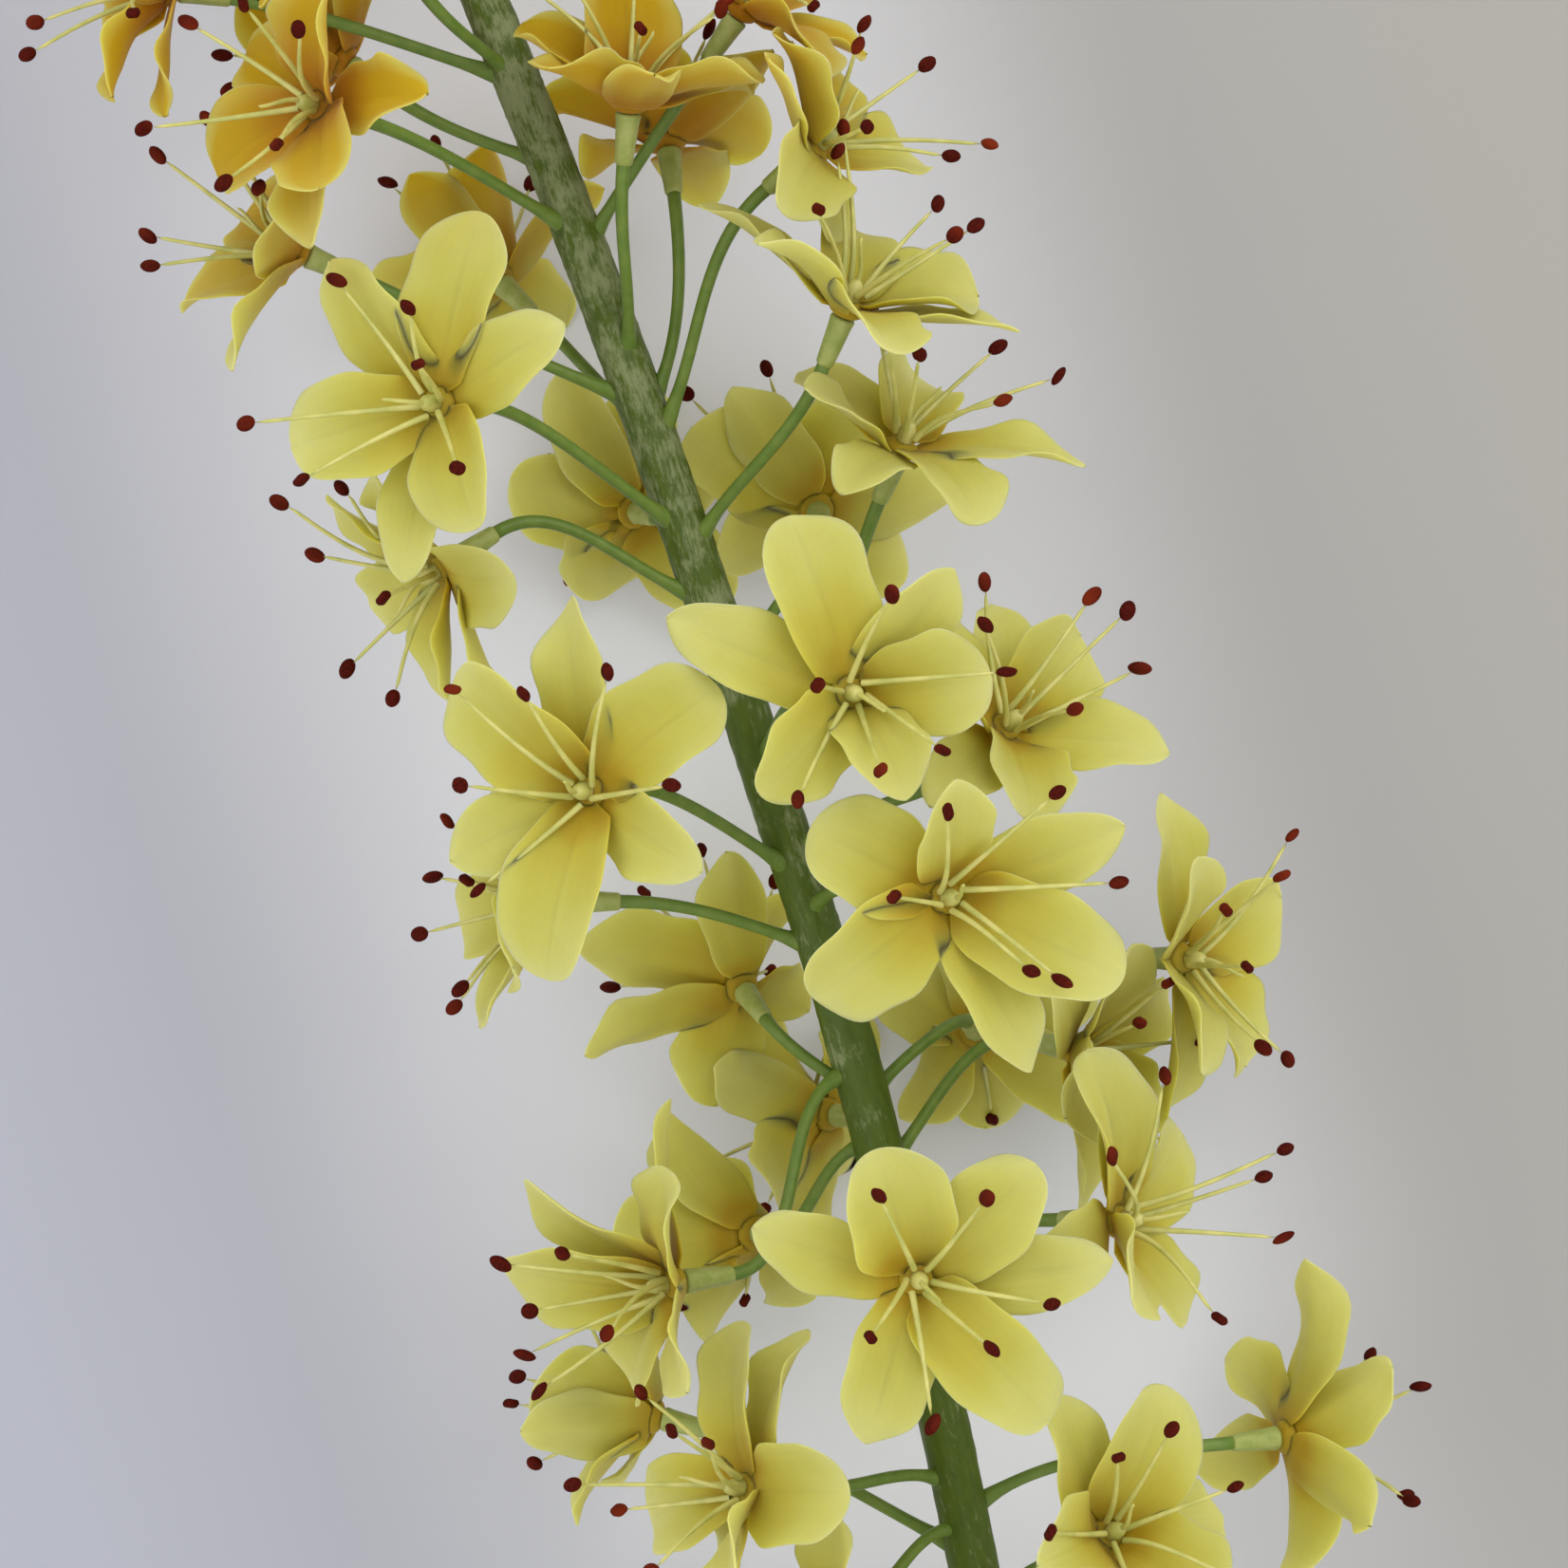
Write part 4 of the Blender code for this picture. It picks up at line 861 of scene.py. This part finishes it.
def petal_material(colours):
    """Living petal: thin and matt, so light goes through it and its shine is soft."""
    material, shader = new_material(
        "Petal tissue", Roughness=0.6, Subsurface_Weight=0.85, Subsurface_Radius=(1.0, 0.9, 0.25),
        Subsurface_Scale=0.002, Specular_IOR_Level=0.15, Sheen_Weight=0.04)
    place = node(material, "TexCoord", {}, "Object")
    strip = node(material, "UVMap", {}, uv_map="UVMap")
    u, v, _ = node(material, "SeparateXYZ", {0: strip}).node.outputs
    # Soft patches 9 mm across, as petals take their colour unevenly
    patches = node(material, "TexNoise", {"Vector": place, "Scale": per_metre(9), "Detail": 2.0})
    wander = node(material, "Math", {0: patches, 1: -0.5}, operation="ADD")
    moved = node(material, "Math", {0: wander, 1: 0.6, 2: v}, operation="MULTIPLY_ADD")
    # Along the petal from its gold foot to its pale tip; the deeper inner third is partly the
    # petal's own yellow and partly painted shade in the cup round the heart
    yellow = stops(node(material, "ValToRGB", {0: moved}), (0.04, colours.petal_base),
                   (0.20, colours.petal_fold_and_cup_shade), (0.52, colours.petal), (0.95, colours.petal_tip_and_margin_light))
    gold = stops(node(material, "ValToRGB", {0: moved}), (0.05, colours.gold_base),
                 (0.45, colours.gold))
    # The florets are deeper gold towards the tip of the spike
    height = node(material, "SeparateXYZ", {0: place})
    share = node(material, "MapRange", {0: height, 1: 0.086, 2: 0.103},
                 interpolation_type="SMOOTHSTEP")
    colour = node(material, "Mix", {0: share, 6: yellow, 7: gold}, 2, data_type="RGBA")
    # Painted light: a petal is paler towards its margins, most in its outer half, as light shows
    # through its thin margins
    side = node(material, "Math", {0: u, 1: -0.5}, operation="ADD")
    side = node(material, "Math", {0: side}, operation="ABSOLUTE")
    edge = node(material, "MapRange", {0: side, 1: 0.26, 2: 0.5, 3: 0.0, 4: 0.6},
                interpolation_type="SMOOTHSTEP")
    edge = node(material, "Math", {0: edge, 1: v}, operation="MULTIPLY")
    colour = node(material, "Mix", {0: edge, 6: colour, 7: rgba(colours.petal_tip_and_margin_light)}, 2,
                  data_type="RGBA")
    # Veins run along a petal, 0.9 mm apart where it is widest: 20 is the wave node's own rate
    slow = node(material, "Math", {0: v, 1: 0.12}, operation="MULTIPLY")
    veins = node(material, "CombineXYZ", {0: u, 1: slow})
    rate = 2 * math.pi * BROAD_WIDTH / (20 * VEIN_GAP)
    lines = node(material, "TexWave", {"Vector": veins, "Scale": rate, "Distortion": 1.6,
                                       "Detail": 2.0, "Detail Scale": 2.5}, "Fac")
    vein = node(material, "MapRange", {0: lines, 3: 0.99, 4: 1.006})
    grey = node(material, "CombineColor", {0: vein, 1: vein, 2: vein})
    colour = node(material, "Mix", {0: 1.0, 6: colour, 7: grey}, 2, data_type="RGBA",
                  blend_type="MULTIPLY")
    bump = node(material, "Bump", {"Strength": 0.06, "Distance": 0.00005, "Height": lines})
    join(shader, {"Base Color": colour, "Normal": bump})
    return material


def filament_material(colours):
    """Filament: pale and juicy, in soft patches of a greener yellow, a little light goes through.
    """
    material, shader = new_material(
        "Filament tissue", Roughness=0.42, Subsurface_Weight=0.3,
        Subsurface_Radius=(1.0, 0.9, 0.4), Subsurface_Scale=0.0006)
    place = node(material, "TexCoord", {}, "Object")
    cloud = node(material, "TexNoise", {"Vector": place, "Scale": per_metre(2.5), "Detail": 2.0})
    colour = stops(node(material, "ValToRGB", {0: cloud}),
                   (0.35, shaded(colours.filament, 0.72, 0.78, 0.6)), (0.65, colours.filament))
    bump = node(material, "Bump", {"Strength": 0.2, "Distance": 0.00005, "Height": cloud})
    join(shader, {"Base Color": colour, "Normal": bump})
    return material


def anther_material(colours):
    """Anther: dry and grainy with pollen sacs, so it is dark, rough and dull."""
    material, shader = new_material("Anther", Roughness=0.85, Specular_IOR_Level=0.08)
    place = node(material, "TexCoord", {}, "Object")
    # Pollen grains are too fine to show, so they are drawn 0.25 mm across
    grain = node(material, "TexVoronoi", {"Vector": place, "Scale": per_metre(0.25)})
    dark = stops(node(material, "ValToRGB", {0: grain}),
                 (0.1, shaded(colours.anther, 1.3, 1.3, 1.3)),
                 (0.7, shaded(colours.anther, 0.7, 0.7, 0.7)))
    # Some anthers are riper than others and show brown pollen
    ripe = node(material, "TexNoise", {"Vector": place, "Scale": per_metre(7), "Detail": 1.0})
    share = node(material, "MapRange", {0: ripe, 1: 0.48, 2: 0.72, 3: 0.0, 4: 0.8})
    colour = node(material, "Mix", {0: share, 6: dark, 7: rgba(colours.pollen)}, 2,
                  data_type="RGBA")
    bump = node(material, "Bump", {"Strength": 0.6, "Distance": 0.00006, "Height": grain},
                invert=True)
    join(shader, {"Base Color": colour, "Normal": bump})
    return material


def stem_material(colours):
    """Stem: waxy green skin under a patchy pale meal, fibrous along its length."""
    material, shader = new_material("Stem skin", Specular_IOR_Level=0.3)
    place = node(material, "TexCoord", {}, "Object")
    # Streaks follow the stem, which runs near X: 3 mm long and 0.7 mm wide
    along = node(material, "Mapping", {"Vector": place, "Scale": (0.25, 1.0, 1.0)})
    streaks = node(material, "TexNoise", {"Vector": along, "Scale": per_metre(0.7),
                                          "Detail": 4.0, "Roughness": 0.6})
    patches = node(material, "TexNoise", {"Vector": place, "Scale": per_metre(3.2),
                                          "Detail": 3.0, "Roughness": 0.6})
    meal = node(material, "TexNoise", {"Vector": along, "Scale": per_metre(0.45),
                                       "Detail": 3.0, "Roughness": 0.75})
    green = stops(node(material, "ValToRGB", {0: streaks}),
                  (0.3, shaded(colours.stem, 0.66, 0.72, 0.6)), (0.7, colours.stem))
    # The meal is thicker on the younger, upper part of the stem
    height = node(material, "SeparateXYZ", {0: place})
    young = node(material, "MapRange", {0: height, 1: 0.0, 2: 0.09, 3: -0.14, 4: 0.14})
    speck = node(material, "Math", {0: patches, 1: meal}, operation="ADD")
    cover = node(material, "Math", {0: speck, 1: young}, operation="ADD")
    share = node(material, "MapRange", {0: cover, 1: 0.94, 2: 1.30, 3: 0.0, 4: 0.65},
                 interpolation_type="SMOOTHSTEP")
    colour = node(material, "Mix", {0: share, 6: green, 7: rgba(colours.meal)}, 2,
                  data_type="RGBA")
    rough = node(material, "MapRange", {0: share, 3: 0.5, 4: 0.9})
    bump = node(material, "Bump", {"Strength": 0.5, "Distance": 0.0001, "Height": speck})
    join(shader, {"Base Color": colour, "Roughness": rough, "Normal": bump})
    return material


def green_material(name, low, high, roughness, grain, through=0.0):
    """Smooth plant skin: fine streaks of two greens and a soft waxy shine."""
    material, shader = new_material(
        name, Roughness=roughness, Subsurface_Weight=through, Subsurface_Radius=(0.8, 1.0, 0.3),
        Subsurface_Scale=0.0008, Specular_IOR_Level=0.4)
    place = node(material, "TexCoord", {}, "Object")
    cloud = node(material, "TexNoise", {"Vector": place, "Scale": per_metre(grain),
                                        "Detail": 4.0, "Roughness": 0.55})
    colour = stops(node(material, "ValToRGB", {0: cloud}), (0.35, low), (0.65, high))
    bump = node(material, "Bump", {"Strength": 0.3, "Distance": 0.00008, "Height": cloud})
    join(shader, {"Base Color": colour, "Normal": bump})
    return material


def bud_material(colours):
    """Closed bud: six petals edge to edge, each with a darker green rib down its back."""
    material, shader = new_material(
        "Bud skin", Subsurface_Weight=0.15, Subsurface_Radius=(0.8, 1.0, 0.3),
        Subsurface_Scale=0.0008)
    strip = node(material, "UVMap", {}, uv_map="UVMap")
    u, v, _ = node(material, "SeparateXYZ", {0: strip}).node.outputs
    wave = node(material, "Math", {0: u, 1: RIBS * 2 * math.pi}, operation="MULTIPLY")
    rib = node(material, "Math", {0: wave}, operation="COSINE")
    share = node(material, "MapRange", {0: rib, 1: 0.35, 2: 1.0, 3: 0.0, 4: 0.8})
    pale = stops(node(material, "ValToRGB", {0: v}),
                 (0.1, blend(colours.stem, colours.bud, 0.4)), (0.55, colours.bud),
                 (0.95, blend(colours.bud, colours.gold, 0.45)))
    colour = node(material, "Mix", {0: share, 6: pale, 7: rgba(colours.stem)}, 2,
                  data_type="RGBA")
    # The skin is finely uneven, in grains 0.8 mm across
    place = node(material, "TexCoord", {}, "Object")
    grain = node(material, "TexNoise", {"Vector": place, "Scale": per_metre(0.8), "Detail": 3.0})
    rough = node(material, "MapRange", {0: grain, 3: 0.4, 4: 0.6})
    bump = node(material, "Bump", {"Strength": 0.25, "Distance": 0.00006, "Height": grain})
    join(shader, {"Base Color": colour, "Roughness": rough, "Normal": bump})
    return material


def paper_material(colours, middle):
    """Matt backdrop paper: rough, with a painted pool of light under the florets and painted cool
    and warm light to either side.
    """
    material, shader = new_material("Matt backdrop paper", Roughness=0.95,
                                    Specular_IOR_Level=0.05)
    place = node(material, "TexCoord", {}, "Object")
    x, y, _ = node(material, "SeparateXYZ", {0: place}).node.outputs
    # Painted light: cool light on the picture's left and warm light on its right
    side = node(material, "MapRange", {0: y, 1: middle.y + 0.09, 2: middle.y - 0.09})
    painted_side_light = stops(node(material, "ValToRGB", {0: side}), (0.0, colours.floor_left_cool_light),
                  (1.0, colours.floor_right_warm_light))
    # The painted pool of light makes up for the florets' shadow: it is 0.13 m wide and fades out
    # where the florets end
    reach = node(material, "Math", {0: y, 1: -middle.y - 0.005}, operation="ADD")
    reach = node(material, "Math", {0: reach}, operation="ABSOLUTE")
    pool = node(material, "MapRange", {0: reach, 1: 0.0, 2: 0.064, 3: 1.0, 4: 0.0},
                interpolation_type="SMOOTHSTEP")
    for outside, inside in ((-0.125, -0.06), (0.14, 0.07)):
        fade = node(material, "MapRange", {0: x, 1: middle.x + outside, 2: middle.x + inside},
                    interpolation_type="SMOOTHSTEP")
        pool = node(material, "Math", {0: pool, 1: fade}, operation="MULTIPLY")
    colour = node(material, "Mix", {0: pool, 6: painted_side_light, 7: rgba(colours.floor)}, 2,
                  data_type="RGBA")
    join(shader, {"Base Color": colour})
    return material


def finish_piece(work, name, materials, slot, *nodes):
    """Turns a shape in millimetres into a finished piece that stands for its solids."""
    shift = Matrix.Translation(Vector((-ORIGIN[0], -ORIGIN[1], 0.0)))
    bmesh.ops.transform(work, matrix=Matrix.Scale(0.001, 4) @ shift, verts=work.verts)
    bmesh.ops.recalc_face_normals(work, faces=work.faces)
    mesh = bpy.data.meshes.new(name)
    work.to_mesh(mesh)
    work.free()
    for material in materials:
        mesh.materials.append(material)
    mesh.shade_smooth()
    piece = bpy.data.objects.new(name, mesh)
    bpy.context.scene.collection.objects.link(piece)
    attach(piece, "root")
    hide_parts(*nodes)


def florets_planned():
    """Every floret's plan, in the order of the table."""
    return [plan_floret(row, i) for i, row in enumerate(FLORETS)]


class SPIKE_OT_stem(bpy.types.Operator):
    """Builds the bowed stem with its mealy skin and its pale cut end"""
    bl_idname = "spike.stem"
    bl_label = "Stem"

    def execute(self, context):
        sizes, colours = context.scene.spike_sizes, context.scene.spike_colours
        points, radii, _ = stem_line(STEM_STEPS)
        relief = sizes.meal_relief * 1000
        draw = random.Random(STEM_SEED)
        seed = Vector([draw.uniform(0, 50) for _ in range(3)])
        rings = tube_place(points, radii)
        count = len(points)

        def place(around, along):
            flat = rings(around, along)
            row = np.clip(np.rint(along * (count - 1)).astype(int), 0, count - 1)
            centre = points[row]
            bumps = np.array([
                noise.fractal(Vector(p) * 1.1 + seed, 1.0, 2.0, 3)
                + 0.5 * noise.noise(Vector((p[0] * 0.25, p[1], p[2])) * 0.9 + seed) for p in flat])
            # Six shallow ribs run up the stem, as pale fibres raise its skin
            ribs = 0.35 * np.cos(around * 2 * np.pi * RIBS + along * 9)
            grow = 1 + (bumps * relief + ribs * relief) / np.linalg.norm(flat - centre, axis=1)
            return centre + (flat - centre) * grow[:, None]

        work = bmesh.new()
        skin(work, STEM_COLUMNS, count - 1, place)
        rims = [edge for edge in work.edges if edge.is_boundary]
        caps = bmesh.ops.holes_fill(work, edges=rims, sides=0)["faces"]
        for face in caps:
            face.material_index = 1
        pith = green_material("Cut stem pith", colours.pith, colours.pith_pale, 0.7, 0.4, 0.2)
        finish_piece(work, "stem", [stem_material(colours), pith], "stem_green", "flower_stem")
        return {"FINISHED"}


class SPIKE_OT_stalks(bpy.types.Operator):
    """Builds the thin floret stalks and the pale sleeves that hold the florets"""
    bl_idname = "spike.stalks"
    bl_label = "Stalks and sleeves"

    def execute(self, context):
        sizes, colours = context.scene.spike_sizes, context.scene.spike_colours
        line = stem_line(1)
        radius, wide = sizes.stalk_radius * 1000, sizes.sleeve_radius * 1000
        work = bmesh.new()
        for floret in florets_planned():
            curve = stalk_curve(floret, line, 26)
            share = np.linspace(0, 1, len(curve))
            radii = radius * (1 + 0.75 * np.exp(-(share / 0.10) ** 2) + 0.15 * share ** 4)
            curve = np.vstack([curve, curve[-1:] + floret["facing"] * 0.6])
            tube(work, curve, np.append(radii, 0.0), 12)
        green = green_material("Stalk skin", shaded(colours.stalk, 0.7, 0.82, 0.6),
                               colours.stalk, 0.45, 1.6)
        finish_piece(work, "stalks", [green], "stem_green", "flower_stem")

        # A sleeve's outline from its foot up: heights in millimetres and shares of its radius
        heights = np.array([-0.10, -0.05, 0.05, 0.25, 0.6, 1.2, 2.0, 2.8, 3.6, 4.2, 4.6,
                            4.85, 4.8])
        reach = np.array([0.0, 0.66, 0.78, 0.84, 0.86, 0.90, 0.96, 1.01, 1.06, 1.11, 1.18,
                          1.12, 0.0]) / 1.15
        work = bmesh.new()
        for floret in florets_planned():
            foot = floret["middle"] - floret["facing"] * (SLEEVE_LENGTH + SEAT_GAP)
            tube(work, foot + floret["facing"] * heights[:, None], reach * wide, 18, 0,
                 lambda around, along: 1 + 0.035 * np.cos(around * 2 * np.pi * RIBS))
        sleeve = green_material("Sleeve skin", shaded(colours.sleeve, 0.72, 0.8, 0.55),
                                colours.sleeve, 0.5, 1.2, 0.35)
        finish_piece(work, "sleeves", [sleeve], "stem_green", "flower_stem")
        return {"FINISHED"}


class SPIKE_OT_buds(bpy.types.Operator):
    """Builds the closed buds that crowd the spike's tip"""
    bl_idname = "spike.buds"
    bl_label = "Buds"

    def execute(self, context):
        colours = context.scene.spike_colours
        work = bmesh.new()
        for start, foot, way, size in bud_lines(stem_line(1)):
            stalk = bezier(start, start + (foot - start) * 0.5, foot - way * 0.4, foot, 8)
            share = np.linspace(0, 1, 17)
            body = foot + way * (share * BUD_LENGTH * size)[:, None]
            girth = BUD_GIRTH * size * np.sin(np.pi * share ** 0.82) ** 0.75
            line = np.vstack([stalk[:-1], body])
            radii = np.concatenate([np.full(7, 0.6), np.maximum(girth, 0.6 * (1 - share))])
            radii[-1] = 0.0
            tube(work, line, radii, 18, 0, lambda around, along: (
                1 + 0.05 * np.cos(around * 2 * np.pi * RIBS) * (along > 0.3)))
        finish_piece(work, "buds", [bud_material(colours)], "stem_green", "flower_stem")
        return {"FINISHED"}


class SPIKE_OT_florets(bpy.types.Operator):
    """Builds every open floret: six petals, six stamens and the pale heart"""
    bl_idname = "spike.florets"
    bl_label = "Florets"

    def execute(self, context):
        sizes, colours = context.scene.spike_sizes, context.scene.spike_colours
        materials = [petal_material(colours), filament_material(colours), anther_material(colours)]
        for number, floret in enumerate(florets_planned()):
            floret = follow_solid(floret)
            draw = random.Random(DETAIL_SEED + number)
            work = bmesh.new()
            for tepal in floret["tepals"]:
                petal(work, floret, tepal, sizes)
            heart(work, floret, draw)
            for plan in floret["stamens"]:
                stamen(work, floret, plan, sizes, draw)
            node_name = "floret_" + floret["name"]
            slot = next(part["material_slot"] for part in frame["record"]["subparts"]
                        if part["node"] == node_name)
            finish_piece(work, "bloom_" + floret["name"], materials, slot, node_name)
        return {"FINISHED"}


class SPIKE_OT_stage(bpy.types.Operator):
    """Sets the pale floor, the soft lights and the camera that looks down on the spike"""
    bl_idname = "spike.stage"
    bl_label = "Stage"

    def execute(self, context):
        scene, colours = context.scene, context.scene.spike_colours
        over = Vector((-ORIGIN[0] / 1000, -ORIGIN[1] / 1000, AXIS_HEIGHT / 1000))

        camera = bpy.data.cameras.new("camera")
        camera.sensor_width = SENSOR_WIDTH
        camera.lens = SENSOR_WIDTH * EYE_HEIGHT / (2 * PICTURE_MIDDLE / PX_PER_MM)
        camera.clip_start, camera.clip_end = 0.01, 20.0
        eye = bpy.data.objects.new("camera", camera)
        scene.collection.objects.link(eye)
        place = over + Vector((0, 0, EYE_HEIGHT / 1000))
        eye.matrix_world = Matrix.Translation(place) @ Matrix.Rotation(PICTURE_ROLL, 4, "Z")
        scene.camera = eye

        work = bmesh.new()
        bmesh.ops.create_circle(work, cap_ends=True, segments=96, radius=FLOOR_RADIUS)
        mesh = bpy.data.meshes.new("floor")
        work.to_mesh(mesh)
        work.free()
        floor = bpy.data.objects.new("floor", mesh)
        scene.collection.objects.link(floor)
        mesh.materials.append(paper_material(colours, over))

        # Two soft round lamps: where each stands as right, up and near, its watts and colour
        for name, facing, watts, colour in (
                ("key_light", (0.45, 0.55, 1.0), 4.6, "#FFFEFA"),
                ("fill_light", (-0.9, -0.1, 0.9), 2.0, "#F4F5FF")):
            lamp = bpy.data.lights.new(name, "AREA")
            lamp.shape = "DISK"
            lamp.size = LAMP_SIZE
            lamp.energy = watts
            lamp.color = linear(colour)
            item = bpy.data.objects.new(name, lamp)
            scene.collection.objects.link(item)
            way = Vector(aim(facing))
            item.location = over + way * LAMP_REACH
            item.rotation_mode = "QUATERNION"
            item.rotation_quaternion = (-way).to_track_quat("-Z", "Y")

        world = bpy.data.worlds.new("Soft room")
        world.use_nodes = True
        sky = world.node_tree.nodes["Background"]
        sky.inputs["Color"].default_value = rgba(linear("#F4F5F7"))
        sky.inputs["Strength"].default_value = 1.2
        scene.world = world
        scene.view_settings.view_transform = "Standard"
        return {"FINISHED"}


class SPIKE_PT_panel(bpy.types.Panel):
    """Lists the sizes, the colours and each piece of the spike"""
    bl_idname = "SPIKE_PT_panel"
    bl_label = "Foxtail Lily"
    bl_space_type = "VIEW_3D"
    bl_region_type = "UI"
    bl_category = "Foxtail Lily"

    def draw(self, context):
        for group in (context.scene.spike_sizes, context.scene.spike_colours):
            box = self.layout.box()
            for name in group.__annotations__:
                box.prop(group, name)
        for operator in PIECES + (SPIKE_OT_stage,):
            self.layout.operator(operator.bl_idname)


PIECES = (SPIKE_OT_stem, SPIKE_OT_stalks, SPIKE_OT_buds, SPIKE_OT_florets)
CLASSES = (SpikeSizes, SpikeColours) + PIECES + (SPIKE_OT_stage, SPIKE_PT_panel)


def register():
    """Adds the sizes, the colours, the operators and the panel to Blender."""
    for item in CLASSES:
        bpy.utils.register_class(item)
    bpy.types.Scene.spike_sizes = bpy.props.PointerProperty(type=SpikeSizes)
    bpy.types.Scene.spike_colours = bpy.props.PointerProperty(type=SpikeColours)


def unregister():
    """Takes them out again."""
    del bpy.types.Scene.spike_colours
    del bpy.types.Scene.spike_sizes
    for item in reversed(CLASSES):
        bpy.utils.unregister_class(item)


def main():
    """Builds the whole scene."""
    register()
    bpy.ops.spike.stage()
    bpy.ops.spike.stem()
    bpy.ops.spike.stalks()
    bpy.ops.spike.buds()
    bpy.ops.spike.florets()


if __name__ == "__main__":
    main()
